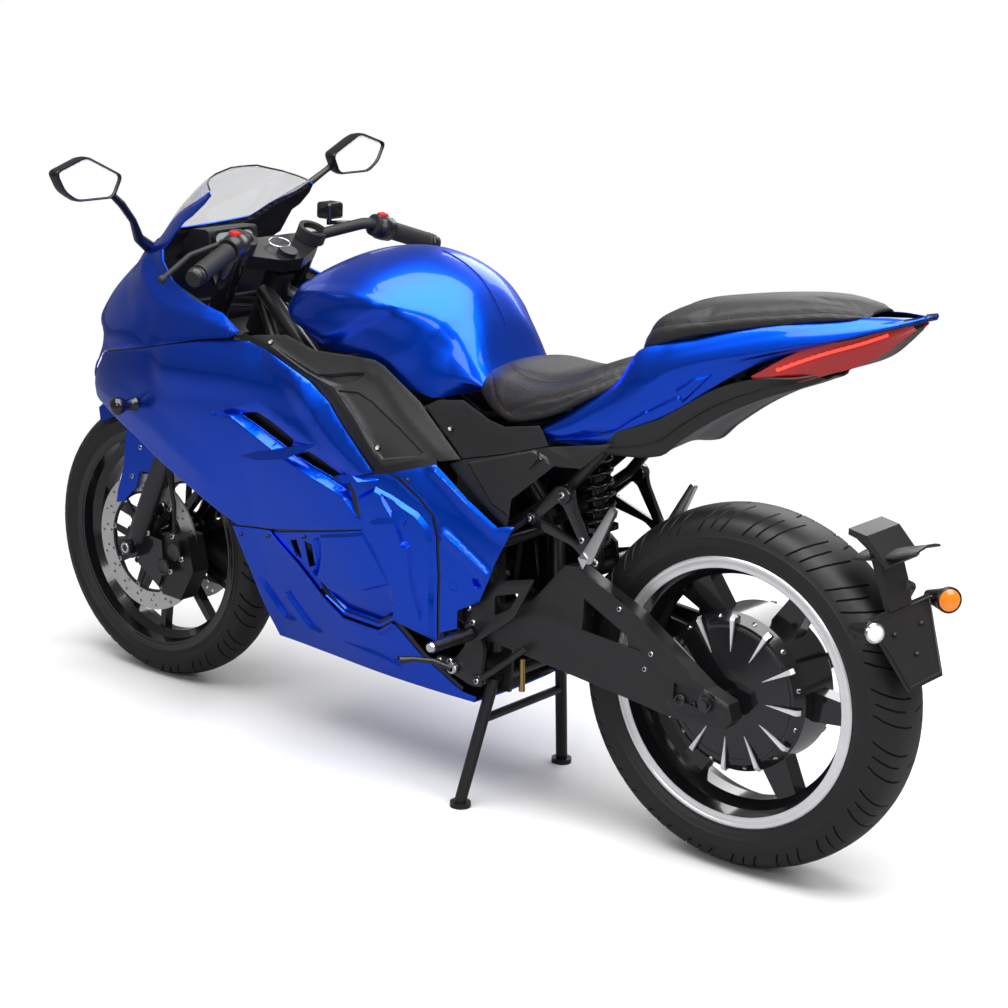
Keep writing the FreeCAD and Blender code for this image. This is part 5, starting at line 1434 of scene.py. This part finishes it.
def tyre(name, half, centre, pitches, body, node):
    table = arc_table(half)
    crown, reach_v = half[0][1], table[-1][0]
    pitch = 2 * math.pi * crown / pitches
    k = half[5][0] / 70
    lines = [[(7, 5), (10, 24), (17, 46), (28, 68), (38, 82)], [(37, 24), (41, 42), (50, 62), (59, 78)],
             [(56, 7), (59, 26), (66, 47), (77, 68), (87, 82)], [(11, -26), (15, -44), (25, -64), (34, -79)],
             [(31, -6), (34, -24), (41, -46), (52, -68), (62, -82)], [(63, -26), (67, -44), (76, -62), (86, -78)]]
    reliefs = [groove([(u * pitch / 98, v * k) for u, v in line], 3.4, 2.0) for line in lines]
    for v, height in ((92, 0.8), (108, 0.6), (129, 1.3)):
        reliefs += [band(pitch, side * v * k, height, 2.0) for side in (1, -1)]
    places, faces = panel_mesh(flat_plane, same, same,
                               [(0, -reach_v), (pitch, -reach_v), (pitch, reach_v), (0, reach_v)], reliefs, cell=9)
    verts, run = [], []
    for n in range(pitches):
        turn, first = 2 * math.pi * n / pitches, len(verts)
        verts += [tyre_place(table, crown, centre, p.x, p.z, p.y, turn) for p in places]
        run += [tuple(i + first for i in face) for face in faces]
    piece = new_piece(name, verts, run, "tyre", body)
    outward_normals(piece, 0.0002)
    piece.data.set_sharp_from_angle(angle=math.radians(34))
    finish_piece(piece, [node])


def lathe(name, loop, centre, finish, body, steps=120, side=1):
    # a closed (y, radius) loop turned about the wheel's axle
    verts, faces = [], []
    count = len(loop)
    for k in range(steps):
        a = 2 * math.pi * k / steps
        verts += [at(centre[0] + r * math.sin(a), side * y, centre[1] + r * math.cos(a)) for y, r in loop]
    for k in range(steps):
        for j in range(count):
            a, b = k * count + j, k * count + (j + 1) % count
            c, d = ((k + 1) % steps) * count + (j + 1) % count, ((k + 1) % steps) * count + j
            faces.append((a, b, c, d))
    piece = new_piece(name, verts, faces, finish, body)
    outward_normals(piece)
    piece.data.set_sharp_from_angle(angle=math.radians(40))
    finish_piece(piece)


def around(centre, radius, degrees, y):
    a = math.radians(degrees)
    return at(centre[0] + radius * math.sin(a), y, centre[1] + radius * math.cos(a))


def around_aim(degrees, radial, axial):
    a = math.radians(degrees)
    return Vector((radial * math.sin(a), axial, radial * math.cos(a))).normalized()


def motor_trims():
    verts, faces = [], []
    for k in range(12):
        angle = 30 * k
        first = len(verts)
        for r, wide, y in ((74, 0.5, 64.2), (134, 4.6, 64.2), (74, 0.4, 65.6), (130, 3.9, 67.4), (138, 4.6, 58)):
            for s in (-1, 1):
                verts.append(around(REAR_AXLE, r, angle + math.degrees(s * wide / r), y))
        # base 0-3, top 4-7, outer drop 8-9
        for face in ((4, 5, 7, 6), (6, 7, 9, 8), (0, 4, 6, 2), (1, 3, 7, 5), (2, 6, 8), (3, 9, 7), (0, 1, 5, 4),
                     (0, 2, 3, 1), (2, 8, 9, 3)):
            faces.append(tuple(first + i for i in face))
    piece = new_piece("motor_wedges", verts, faces, "bright_lip", "rear_wheel", smooth=False)
    outward_normals(piece)
    finish_piece(piece)
    spots = [(around(REAR_AXLE, 131, 15 + 30 * k, 51.6), around_aim(15 + 30 * k, 1, 1)) for k in range(12)]
    spots += [(around(REAR_AXLE, 96, 15 + 30 * k, 58.4), Vector((0, 1, 0))) for k in range(0, 12, 2)]
    screws("motor_screws", spots, 0.85, body="rear_wheel")
    lathe("motor_ring", [(57, 112), (60.4, 113), (60.4, 118), (57, 119)], REAR_AXLE, "gloss_black", "rear_wheel")
    lathe("motor_hub_ring", [(57, 44), (63, 46), (66, 50), (62, 58), (57, 60)], REAR_AXLE, "gloss_black", "rear_wheel")
    for side, label in ((1, "left"), (-1, "right")):
        lathe("rear_lip_" + label, [(57, 213), (59.6, 214), (60.6, 217), (60.4, 224), (59.9, 225.2), (59.9, 226.4),
                                    (61.2, 227.4), (61.6, 231), (60, 233.4), (56, 233.6)],
              REAR_AXLE, "bright_lip", "rear_wheel", 144, side)
        lathe("front_lip_" + label,
              [(42, 217), (44.8, 218), (45.6, 221), (45.4, 227), (46.4, 229), (46, 232), (42, 233)],
              FRONT_AXLE, "gloss_black", "front_wheel", 144, side)


def disc_rivets():
    for name, count, step, start, radius, y, size, finishes in (
            ("disc_rivets", 9, 40, 82, 101, 58.3, 1.15, ("silver", "dark_steel")),
            ("disc_bolts", 5, 72, 0, 56, 60.6, 1.2, ("dark_steel", "gloss_black"))):
        spots = [(around(FRONT_AXLE, radius, start + step * k, side * y), Vector((0, side, 0)))
                 for k in range(count) for side in (1, -1)]
        screws(name, spots, size, finishes, "front_wheel")


def banded(name, centre, limit, inner, outer):
    """Two finishes divided by the distance from an axle: inner within the limit, outer beyond it."""
    mat, tree, shader = node_material(name)
    tree.nodes.remove(shader)
    where = add(tree, "ShaderNodeTexCoord").outputs["Object"]
    offset = add(tree, "ShaderNodeVectorMath", {0: where, 1: at(centre[0], 0, centre[1])}, operation="SUBTRACT")
    level = add(tree, "ShaderNodeVectorMath", {0: offset.outputs[0], 1: (1, 0, 1)}, operation="MULTIPLY")
    far = add(tree, "ShaderNodeVectorMath", {0: level.outputs[0]}, operation="LENGTH").outputs["Value"]
    beyond = add(tree, "ShaderNodeMath", {0: far, 1: limit / 1000}, operation="GREATER_THAN")
    mix = add(tree, "ShaderNodeMixShader", {"Fac": beyond.outputs[0]})
    for slot, (color, rough, metal) in ((1, inner), (2, outer)):
        grain_out = grained(tree, color, 500, 0.25, rough, 0.1)
        shader = add(tree, "ShaderNodeBsdfPrincipled", {"Metallic": metal, "Base Color": grain_out["Color"],
                                                        "Roughness": grain_out["Roughness"]})
        feed(tree, mix, {slot: shader.outputs[0]})
    feed(tree, tree.nodes["Material Output"], {"Surface": mix.outputs[0]})
    return mat


class BIKE_OT_wheels(bpy.types.Operator):
    """Tyres with tread, rim lips, motor trims and brake disc details"""
    bl_idname = "bike.wheels"
    bl_label = "Wheels"

    def execute(self, context):
        tyre("rear_tyre_tread", REAR_TYRE, REAR_AXLE, 20, "rear_wheel", "rear_tyre")
        tyre("front_tyre_tread", FRONT_TYRE, FRONT_AXLE, 18, "front_wheel", "front_tyre")
        motor_trims()
        disc_rivets()
        black, steel = ((0.008, 0.008, 0.009), 0.3, 0.0), ((0.62, 0.615, 0.61), 0.34, 0.8)
        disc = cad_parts["front_discs"].data.materials
        disc[0] = banded("front_disc_steel", FRONT_AXLE, 105, black, steel)
        return {"FINISHED"}


# ---- swingarm

ARM_OUTLINE = [(500, 344), (492, 372), (440, 384), (400, 376), (306, 486), (280, 490), (150, 432), (4, 338), (-40, 322),
               (-48, 296), (-34, 278), (60, 272), (480, 316)]
ARM_WINDOW = [(262, 440), (170, 396), (136, 372), (262, 382)]


def arm_face(x, z):
    return Vector((x, 123.4, z))


def swingarm_faces():
    axle_box = [(94, 338), (20, 338), (2, 286), (56, 276), (80, 298)]
    reliefs = [
        ridge([(486, 352), (330, 392), (268, 380), (130, 366), (106, 318), (90, 290)], 4, 40, 16),
        ridge([(296, 470), (276, 462), (150, 408), (100, 372), (8, 330)], 3, 14, 14),
        plateau(axle_box, -7, 4),
        plateau([(18, 344), (-40, 322), (-48, 296), (-34, 278), (2, 280), (14, 312)], 4, 8),
    ]
    places, faces = panel_mesh(arm_face, same, same, ARM_OUTLINE, reliefs, [ARM_WINDOW], cell=9)
    for side in ("left", "right"):
        mirror = side == "right"
        run = [face[::-1] for face in faces] if mirror else faces
        piece = new_piece("arm_face_" + side, to_scene(places, mirror), run, "plastic", "chassis", sharp=24)
        wall(piece, 0.008, 0.0015)
        finish_piece(piece)
    for name, y, places, size, finishes in (
            ("arm_screws", 125.5, ((117, 373), (128, 344), (186, 436)), 0.95, ("silver", "gloss_black")),
            ("adjuster_nuts", 118.5, ((58, 305),), 2.3, ("dark_steel", "gloss_black")),
            ("adjuster_screws", 118.5, ((32, 303),), 1.3, ("dark_steel", "gloss_black"))):
        spots = [(at(x, side * y, z), Vector((0, side, 0))) for side in (1, -1) for x, z in places]
        screws(name, spots, size, finishes)


class BIKE_OT_swingarm(bpy.types.Operator):
    """Cast outer faces of the swingarm with their screws"""
    bl_idname = "bike.swingarm"
    bl_label = "Swingarm"

    def execute(self, context):
        swingarm_faces()
        return {"FINISHED"}


# ---- mirrors, screen and cockpit

def tube(name, line, radius, finish, body, side=0, sides=12):
    """A round rod along a line; side 0 makes it once, else it's mirrored too."""
    verts, faces = [], []
    radii = radius if isinstance(radius, list) else [radius] * len(line)
    for mirror in ((1, -1) if side else (1,)):
        first = len(verts)
        for i, place in enumerate(line):
            a, b = Vector(line[max(i - 1, 0)]), Vector(line[min(i + 1, len(line) - 1)])
            along = (b - a).normalized()
            across = along.cross(Vector((0, 0, 1)))
            if across.length < 0.2:
                across = along.cross(Vector((0, 1, 0)))
            across.normalize()
            up = across.cross(along)
            for k in range(sides):
                t = 2 * math.pi * k / sides
                p = Vector(place) + radii[i] * (across * math.cos(t) + up * math.sin(t))
                verts.append(at(p.x, mirror * p.y, p.z))
        for a, b, c, d in ring_faces(len(line), sides, first):
            faces.append((a, b, c, d) if mirror > 0 else (a, d, c, b))
        ends = tuple(first + k for k in range(sides)), tuple(first + (len(line) - 1) * sides + k for k in range(sides))
        faces.append(ends[0][::-1] if mirror > 0 else ends[0])
        faces.append(ends[1] if mirror > 0 else ends[1][::-1])
    piece = new_piece(name, verts, faces, finish, body, sharp=50)
    outward_normals(piece)
    return finish_piece(piece)


def rounded(corners, radius, steps=5):
    # a loop of corners with each corner rounded
    out = []
    count = len(corners)
    for i in range(count):
        p, a, b = Vector(corners[i]), Vector(corners[i - 1]), Vector(corners[(i + 1) % count])
        da, db = (a - p), (b - p)
        cut = min(radius, da.length * 0.45, db.length * 0.45)
        start, end = p + da.normalized() * cut, p + db.normalized() * cut
        for k in range(steps + 1):
            t = k / steps
            out.append(start * (1 - t) ** 2 + p * 2 * t * (1 - t) + end * t ** 2)
    return out


MIRROR_LOOP = [(-75, 2), (12, 43), (87, 18), (66, -20), (36, -39), (-54, -39)]


def mirrors():
    loop = rounded(MIRROR_LOOP, 12)
    count = len(loop)
    # rings from the glass at the back to the nose of the housing
    rings = [(-8.5, 0.885), (-8.5, 0.90), (-12, 0.93), (-12, 0.985), (-9, 1.0), (2, 1.0), (16, 0.93), (27, 0.78),
             (34, 0.58), (37, 0.25)]
    for side, label in ((1, "left"), (-1, "right")):
        centre = Vector((1243, side * 355, 1064))
        verts = [at(centre.x + x, centre.y + side * p[0] * scale, centre.z + p[1] * scale)
                 for x, scale in rings for p in loop]
        faces = ring_faces(len(rings), count)
        marks = [0] * len(faces) + [1, 0]
        faces += [tuple(range(count)), tuple(len(verts) - count + k for k in range(count))]
        piece = new_piece("mirror_head_" + label, verts, faces, ["plastic_fine", "mirror"], "chassis", sharp=35)
        piece.data.polygons.foreach_set("material_index", marks)
        outward_normals(piece)
        piece.data.set_sharp_from_angle(angle=math.radians(35))
        foot_y = abs(skin(skin_u(1346, 900), 900).y)
        line = [(1346, side * (foot_y - 2), 900), (1338, side * 146, 925), (1308, side * 188, 966),
                (1270, side * 250, 1006), (1258, side * 292, 1034), (1252, side * 318, 1050)]
        stalk = tube("mirror_stalk_" + label, line, [13, 10, 7, 7.5, 6, 9], "plastic_fine", "chassis")
        finish_piece(piece, ["mirror_" + label])
        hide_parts("mirror_" + label)


class BIKE_OT_mirrors(bpy.types.Operator):
    """Mirrors on their stalks"""
    bl_idname = "bike.mirrors"
    bl_label = "Mirrors"

    def execute(self, context):
        mirrors()
        return {"FINISHED"}


# ---- smaller parts

def plate_piece(name, corners, y_from, y_to, finish, holes=(), round_by=6, bevel=0.001, replaces=()):
    """A flat casting with rounded corners on each side, standing in the side view between two widths."""
    loop = [(p[0], p[1]) for p in rounded(corners, round_by, 3)]
    openings = [[(p[0], p[1]) for p in rounded(hole, 4, 3)] for hole in holes]
    points, edges = [], []
    for run in (loop, *openings):
        first = len(points)
        points += [Vector(p) for p in run]
        edges += [(first + k, first + (k + 1) % len(run)) for k in range(len(run))]
    flat, _, faces, _, _, _ = delaunay_2d_cdt(points, edges, [], 0, 1e-5)
    kept = []
    for face in faces:
        x = sum(flat[i].x for i in face) / len(face)
        z = sum(flat[i].y for i in face) / len(face)
        if inside(loop, x, z) and not any(inside(hole, x, z) for hole in openings):
            kept.append(tuple(face))
    verts, run = [], []
    for side in (1, -1):
        first = len(verts)
        verts += [at(p.x, side * y_to, p.y) for p in flat]
        run += [tuple(first + i for i in face) for face in kept]
    piece = new_piece(name, verts, run, finish, "chassis", sharp=35)
    for polygon in piece.data.polygons:
        if polygon.normal.y * (1 if polygon.center.y > 0 else -1) < 0:
            polygon.flip()
    wall(piece, (y_to - y_from) / 1000, bevel, 35)
    finish_piece(piece, replaces)


def boss(name, spots, radius, y_from, y_to, finish):
    # round bosses across the bike, both sides
    verts, faces, count = [], [], 24
    profile = [(0.0, radius - 1.5), (0.12, radius), (0.85, radius), (1.0, radius - 2), (1.0, radius * 0.62),
               (0.93, radius * 0.55)]
    for x, z in spots:
        for side in (1, -1):
            first = len(verts)
            for share, r in profile:
                for k in range(count):
                    a = math.pi / 12 * k
                    y = side * (y_from + (y_to - y_from) * share)
                    verts.append(at(x + r * math.cos(a), y, z + r * math.sin(a)))
            faces += ring_faces(len(profile), count, first)
            faces.append(tuple(first + k for k in range(count)))
            faces.append(tuple(first + count * (len(profile) - 1) + k for k in range(count)))
    piece = new_piece(name, verts, faces, finish, "chassis", sharp=40)
    outward_normals(piece)
    finish_piece(piece)


def bolts(name, spots, size, finishes=("silver", "gloss_black"), body="chassis"):
    # screws that face outwards on both sides, at (x, y, z)
    run = [(at(x, side * y, z), Vector((0, side, 0))) for x, y, z in spots for side in (1, -1)]
    screws(name, run, size, finishes, body)


def duct_backs():
    # dark backs behind the air slots
    for name, outline, drop in (
            ("duct_back", [(1010, 655), (930, 668), (872, 650), (735, 600), (722, 566), (760, 548), (880, 580),
                           (1000, 636)], -30),
            ("slot_back", [(935, 424), (815, 448), (815, 350), (850, 332), (900, 350), (935, 384)], -16)):
        mesh = panel_mesh(skin, skin_u, skin_x, outline, base=drop, cell=16)
        panel_pair(name, ["plastic_fine"], mesh, bevel=0)


def blades():
    # small wings beside the air slots: flat blades that stand off the panel
    for name, root, tip, lift in (
            ("wing_upper", [(983, 572), (928, 579), (853, 595), (800, 622)],
             [(983, 574), (942, 588), (877, 607), (789, 632)], 13),
            ("wing_rear", [(755, 571), (722, 573), (690, 580), (657, 586)],
             [(755, 573), (739, 582), (709, 589), (655, 588)], 12),
            ("wing_lower", [(683, 511), (662, 508), (611, 518), (577, 537)],
             [(683, 513), (642, 529), (602, 540), (575, 538)], 13)):
        verts, faces = [], []
        lifts = [1, lift, lift, 2]
        for side in (1, -1):
            first = len(verts)
            for line, share in ((root, 1.0), (tip, 0.25), (tip, 0.0)):
                for (x, z), height in zip(line, lifts):
                    place = lifted(skin, skin_u(x, z), z, height * share or -4)
                    verts.append(at(place.x, side * place.y, place.z))
            for r, q in ((0, 1), (1, 2), (2, 0)):
                for k in range(3):
                    a, b = first + 4 * r + k, first + 4 * q + k
                    faces.append((a, a + 1, b + 1, b))
            faces += [(first, first + 4, first + 8), (first + 3, first + 11, first + 7)]
        piece = new_piece(name, verts, faces, "blue", "chassis", sharp=20)
        outward_normals(piece)
        finish_piece(piece)


def hangers():
    outer = [(404, 556), (386, 566), (340, 618), (318, 624), (304, 612), (300, 590), (248, 498), (266, 494), (300, 520),
             (398, 540)]
    inner = [(372, 556), (334, 590), (322, 584), (284, 526)]
    plate_piece("hanger_arms", outer, 103, 112, "gloss_black", [inner], 10, replaces=["passenger_footrests"])
    boss("hanger_bosses", [(322, 606)], 17, 98, 119, "gloss_black")
    boss("hanger_feet", [(391, 551), (262, 510)], 11, 100, 117, "gloss_black")
    bolts("hanger_screws", [(322, 118.5, 606), (391, 116.5, 551), (280, 112.4, 534), (248, 113.5, 500)], 1.15)
    blade = [(206, 600), (216, 606), (272, 512), (262, 498), (250, 500)]
    plate_piece("passenger_pegs", blade, 113, 124, "steel", round_by=4, bevel=0.002)
    plate_piece("passenger_peg_ends", [(277, 506), (266, 518), (255, 506), (266, 488)], 119, 126, "silver",
                round_by=2)


def rearsets():
    heel = [(506, 388), (492, 396), (446, 432), (352, 456), (392, 378), (440, 340), (470, 318), (494, 326), (508, 352)]
    opening = [(436, 408), (384, 424), (402, 392), (436, 372)]
    plate_piece("heel_plate", heel, 141, 147, "black_metal", [opening], 8,
                replaces=["rider_footrest_left", "rider_footrest_right"])
    line, radii, rings = [], [], 22
    for k in range(rings):
        t = k / (rings - 1)
        line.append((486 + 12 * t, 148 + 92 * t, 328 - 6 * t))
        radii.append(12 - 2.5 * t + (0.9 if k % 2 else -0.7))
    tube("rider_pegs", line, radii, "dark_steel", "chassis", side=1, sides=18)
    tube("rider_peg_ends", [(498, 239, 322), (498.4, 242, 321.8), (498.6, 246, 321.6)], [9.5, 9.5, 7.5], "silver",
         "chassis", side=1, sides=18)
    lower = [(512, 352), (488, 356), (464, 300), (470, 232), (488, 226), (536, 240), (570, 250), (572, 266), (530, 268),
             (506, 300)]
    plate_piece("rearset_brackets", lower, 128, 138, "black_metal", round_by=9)
    boss("rearset_bosses", [(530, 252), (474, 241)], 12, 126, 143, "gloss_black")
    tube("gear_rods", [(474, 138, 241), (440, 137, 268), (404, 136, 298), (373, 135, 326)], 6, "black_metal",
         "chassis", side=1)
    tube("gear_levers", [(530, 146, 252), (560, 160, 262), (592, 176, 262), (612, 188, 258)], [6, 5.5, 5, 8],
         "black_metal", "chassis", side=1)
    bolts("rearset_screws", [(493, 147.5, 374), (483, 147.5, 349), (474, 143, 241), (540, 138.5, 262),
                             (564, 138.5, 258)], 1.1)
    bolts("rearset_rings", [(530, 143.5, 252)], 2.2, ("silver", "dark_steel"))
    tube("gearbox_links", [(431, 66, 214), (430, 68, 240), (430, 70, 276)], [6, 5, 5], "gold", "chassis", side=1)


def shock_details():
    boss("shock_mounts", [(356, 700)], 17, 60, 82, "gloss_black")
    angles = [2 * math.pi * k / 24 for k in range(25)]
    line = [(318 + 4.5 * math.cos(t), 26.5 * math.sin(t), 520 + 0.85 * t) for t in angles]
    tube("gold_collar", line, 2.4, "gold", "chassis")


STEM_RAKE = 24.5  # degrees
GRIP_ENDS = Vector((1020, 222, 945)), Vector((999, 319, 914))
HALF_BOARD_TOP, HALF_BOARD_LOW = 100, 54
SCREEN_TOP = 1067


def cockpit():
    # lit panel of the dash with its rim, and rubber grips with ribs
    face = rounded([(-54, 900), (-60, 934), (-48, 944), (48, 944), (60, 934), (54, 900)], 8, 4)
    verts = [at(1224 + (p[1] - 900) * 0.12, p[0], p[1]) for p in face]
    inner = [at(1222.5 + (p[1] - 900) * 0.12, p[0] * 0.84, 922 + (p[1] - 922) * 0.74) for p in face]
    count = len(face)
    rim = new_piece("dash_rim", verts + inner + [v + Vector((0.006, 0, 0)) for v in verts],
                    [(k, (k + 1) % count, count + (k + 1) % count, count + k) for k in range(count)] +
                    [(2 * count + k, 2 * count + (k + 1) % count, (k + 1) % count, k) for k in range(count)] +
                    [tuple(2 * count + k for k in range(count)), tuple(count + k for k in reversed(range(count)))],
                    ["gloss_black", "screen_grey"], "chassis")
    rim.data.polygons[len(rim.data.polygons) - 1].material_index = 1
    outward_normals(rim)
    finish_piece(rim)
    line, radii = [], []
    inner_end, outer_end = GRIP_ENDS
    for k in range(57):
        line.append(tuple(inner_end.lerp(outer_end, 0.02 + 0.90 * k / 56)))
        radii.append(18.2 if k in (0, 1, 2, 53, 54, 55, 56) else (17.9 if k % 2 else 17.25))
    tube("grip_ribs", line, radii, "rubber", "steering", side=1, sides=24)
    ends = [tuple(inner_end.lerp(outer_end, s)) for s in (0.95, 0.97, 1.06, 1.1)]
    tube("bar_weights", ends, [16, 18, 17.5, 14], "plastic_fine", "steering", side=1, sides=24)
    back = [tuple(inner_end.lerp(outer_end, s)) for s in (-0.42, -0.40, -0.32, -0.30, -0.14, -0.12, -0.03, -0.02)]
    tube("switch_housings", back, [18, 22, 23, 24.5, 24.5, 23.5, 23, 19], "plastic_fine", "steering", side=1, sides=20)
    verts, faces = [], []
    for side in (1, -1):
        middle = inner_end.lerp(outer_end, -0.22)
        first = len(verts)
        for dx, dy, dz in ((-10, -9, 20), (6, -9, 24), (6, 9, 24), (-10, 9, 20), (-9, -8, 26), (5, -8, 29), (5, 8, 29),
                           (-9, 8, 26)):
            verts.append(at(middle.x + dx, side * (middle.y + dy), middle.z + dz))
        faces += [tuple(first + i for i in face) for face in
                  ((0, 1, 2, 3), (4, 7, 6, 5), (0, 4, 5, 1), (1, 5, 6, 2), (2, 6, 7, 3), (3, 7, 4, 0))]
    piece = new_piece("stop_buttons", verts, faces, "red_button", "steering")
    outward_normals(piece)
    finish_piece(piece)
    # key barrel ring on the upper yoke
    rake = math.radians(STEM_RAKE)
    up = Vector((-math.sin(rake), 0, math.cos(rake)))
    key = Vector((1112, 0, 918))
    ring = []
    for k in range(33):
        t = 2 * math.pi * k / 32
        ring.append(tuple(key + Vector((math.cos(t) * 17 * 0.91, math.sin(t) * 24, math.cos(t) * 17 * 0.41)) + up * 15))
    tube("key_ring", ring, 1.6, "silver", "steering", sides=8)


def screen():
    outline = [(1157, 1035), (1187, 1048), (1205, 1058), (1214, 1068), (1300, 1068), (1400, 975), (1450, 906),
               (1384, 917), (1290, 946), (1250, 974), (1228, 987), (1191, 1004), (1162, 1021)]
    mesh = panel_mesh(skin, skin_u, skin_x, outline, cell=9)
    whole_panel("screen", ["glass"], mesh, ["windscreen"], bevel=0)
    corners = [(1160, 1036), (1187, 1048), (1203, 1058), (1203, SCREEN_TOP)]
    top = [lifted(skin, skin_u(x, z), z, -1.5) for x, z in dense(corners, 8)]
    first = top[-1]
    u_from, u_to = skin_u(1196, SCREEN_TOP), NOSE_BASE + NOSE_SPAN
    front = [lifted(skin, u_from + (u_to - u_from) * k / 24, SCREEN_TOP, -1.5) for k in range(25)]
    line = [tuple(p) for p in top[:-1]] + [tuple(p) for p in front if p.y < first.y + 1]
    tube("screen_edge", line, 1.7, "gloss_black", "chassis", side=1, sides=8)


def plate_details():
    verts = []
    for i in range(7):
        x = -205 - 105 * i / 6
        z = 600 + 26 * (i / 6) ** 1.5
        for share in (-1, -0.6, 0, 0.6, 1):
            verts.append(at(x, share * (50 - 8 * i / 6), z - 7 * share * share))
    blade = new_piece("hood_blade", verts, sheet_faces(7, 5), "plastic", "chassis")
    if blade.data.polygons[0].normal.z < 0:
        blade.data.flip_normals()
    wall(blade, 0.004, 0.0012)
    finish_piece(blade)
    # rim and screws of the plate board
    def board(y_share, down, off):
        half = HALF_BOARD_TOP + (HALF_BOARD_LOW - HALF_BOARD_TOP) * down
        return at(-264 - 60 * down - 4.5 - off, half * y_share, 514 - 116 * down + 2)
    path = [board(s, d, 0) for s, d in ((-0.94, 0.05), (0.94, 0.05), (0.92, 0.95), (-0.92, 0.95), (-0.94, 0.05))]
    line = [tuple((p + Vector((SHIFT / 1000, 0, 0))) * 1000) for p in path]
    tube("board_rim", line, 2.4, "plastic", "chassis", sides=8)
    run = [(board(s, d, 1), Vector((-0.88, 0, -0.47))) for s, d in ((0.5, 0.3), (-0.5, 0.3), (0.0, 0.62))]
    screws("board_screws", run, 1.1, ["plastic_fine", "gloss_black"])
    for name, y, radius, lens, housing in (("rear_lens_left", 120, 13, "clear_lens", "silver"),
                                           ("rear_lens_right", -120, 19, "amber", "plastic_fine")):
        place, aim = Vector((-286, y, 506)), Vector((-0.8, 0.6, 0.12))
        spin(name, place, aim, [(-16, 7), (2, 15), (12, radius + 3), (18, radius + 3), (19.5, radius + 1),
                                (18, radius)], housing)
        spin(name + "_glass", place, aim, [(16, radius), (19, radius * 0.97), (21.5, radius * 0.7),
                                           (22.5, radius * 0.3), (22.7, 0.1)], lens)


def front_blinkers():
    # rounded lamps on short stems, one on each cheek
    root = skin(skin_u(1288, 617), 617)
    for side, label in ((1, "left"), (-1, "right")):
        piece = spin("front_blinker_" + label, Vector((1288, side * (root.y + 0.5), 617)), Vector((0.27, side, 0)),
                     [(0, 15), (9, 12), (19, 10.5), (25, 12.5), (31, 16.8), (38, 18), (45, 16), (50, 11), (52.5, 0.1)],
                     "gloss_black")
        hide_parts("front_indicators")


def spin(name, centre, aim, profile, finish, body="chassis", count=32):
    # a turned shape along any axis: profile of (along, radius)
    aim = aim.normalized()
    across = aim.cross(Vector((0, 0, 1))).normalized()
    up = across.cross(aim)
    verts = []
    for along, radius in profile:
        for k in range(count):
            t = 2 * math.pi * k / count
            p = centre + aim * along + radius * (across * math.cos(t) + up * math.sin(t))
            verts.append(at(p.x, p.y, p.z))
    faces = ring_faces(len(profile), count)
    faces.append(tuple(range(count)))
    faces.append(tuple(count * (len(profile) - 1) + k for k in range(count)))
    piece = new_piece(name, verts, faces, finish, body, sharp=38)
    outward_normals(piece)
    return finish_piece(piece)


def fork_details():
    bolts("fork_screws", [(1418, 71.5, 486), (1442, 71.5, 422)], 1.1, body="steering")
    bolts("caliper_screws", [(1368, 99, 322), (1302, 99, 256), (1270, 99, 288), (1296, 99, 330)], 1.2,
          ("silver", "dark_steel"), "steering")
    for side, label in ((1, "left"), (-1, "right")):
        out = Vector((0, side, 0))
        spin("axle_cap_" + label, Vector((FRONT_AXLE[0], side * 120, FRONT_AXLE[1])), out,
             [(-2, 12), (3, 12), (4.5, 10.5), (4.5, 7), (3, 6.5)], "silver", "steering", 28)
        spin("piston_upper_" + label, Vector((1292, side * 98, 300)), out, [(-2, 19), (3, 19), (5, 16), (4, 12)],
             "gloss_black", "steering")
        spin("piston_lower_" + label, Vector((1322, side * 98, 262)), out, [(-2, 17), (3, 17), (5, 14), (4, 10)],
             "gloss_black", "steering")
    tube("brake_hoses", [(1290, 100, 340), (1284, 106, 400), (1300, 110, 480), (1282, 108, 560), (1240, 100, 640)],
         4.2, "rubber", "steering", side=1, sides=10)


class BIKE_OT_details(bpy.types.Operator):
    """Hangers, footrests, cockpit, screen, lamps, plate holder and fork fittings"""
    bl_idname = "bike.details"
    bl_label = "Details"

    def execute(self, context):
        duct_backs()
        blades()
        hangers()
        rearsets()
        shock_details()
        cockpit()
        screen()
        plate_details()
        front_blinkers()
        fork_details()
        return {"FINISHED"}


class BIKE_PT_panel(bpy.types.Panel):
    bl_idname = "BIKE_PT_panel"
    bl_label = "Bike"
    bl_space_type = "VIEW_3D"
    bl_region_type = "UI"
    bl_category = "Bike"

    def draw(self, context):
        for group in (context.scene.bike_paint, context.scene.bike_panels, context.scene.bike_stage):
            for key in group.__annotations__:
                self.layout.prop(group, key)
        for step in STEPS:
            self.layout.operator(step.bl_idname)


STEPS = (BIKE_OT_stage, BIKE_OT_finishes, BIKE_OT_fairing, BIKE_OT_tank_and_tail, BIKE_OT_covers, BIKE_OT_seats,
         BIKE_OT_wheels, BIKE_OT_swingarm, BIKE_OT_mirrors, BIKE_OT_details)
CLASSES = (PaintSettings, PanelSettings, StageSettings) + STEPS + (BIKE_PT_panel,)


def register():
    for item in CLASSES:
        bpy.utils.register_class(item)
    bpy.types.Scene.bike_paint = bpy.props.PointerProperty(type=PaintSettings)
    bpy.types.Scene.bike_panels = bpy.props.PointerProperty(type=PanelSettings)
    bpy.types.Scene.bike_stage = bpy.props.PointerProperty(type=StageSettings)


def unregister():
    del bpy.types.Scene.bike_stage
    del bpy.types.Scene.bike_panels
    del bpy.types.Scene.bike_paint
    for item in reversed(CLASSES):
        bpy.utils.unregister_class(item)


def main():
    register()
    for step in STEPS:
        space, name = step.bl_idname.split(".")
        getattr(getattr(bpy.ops, space), name)()


if __name__ == "__main__":
    main()
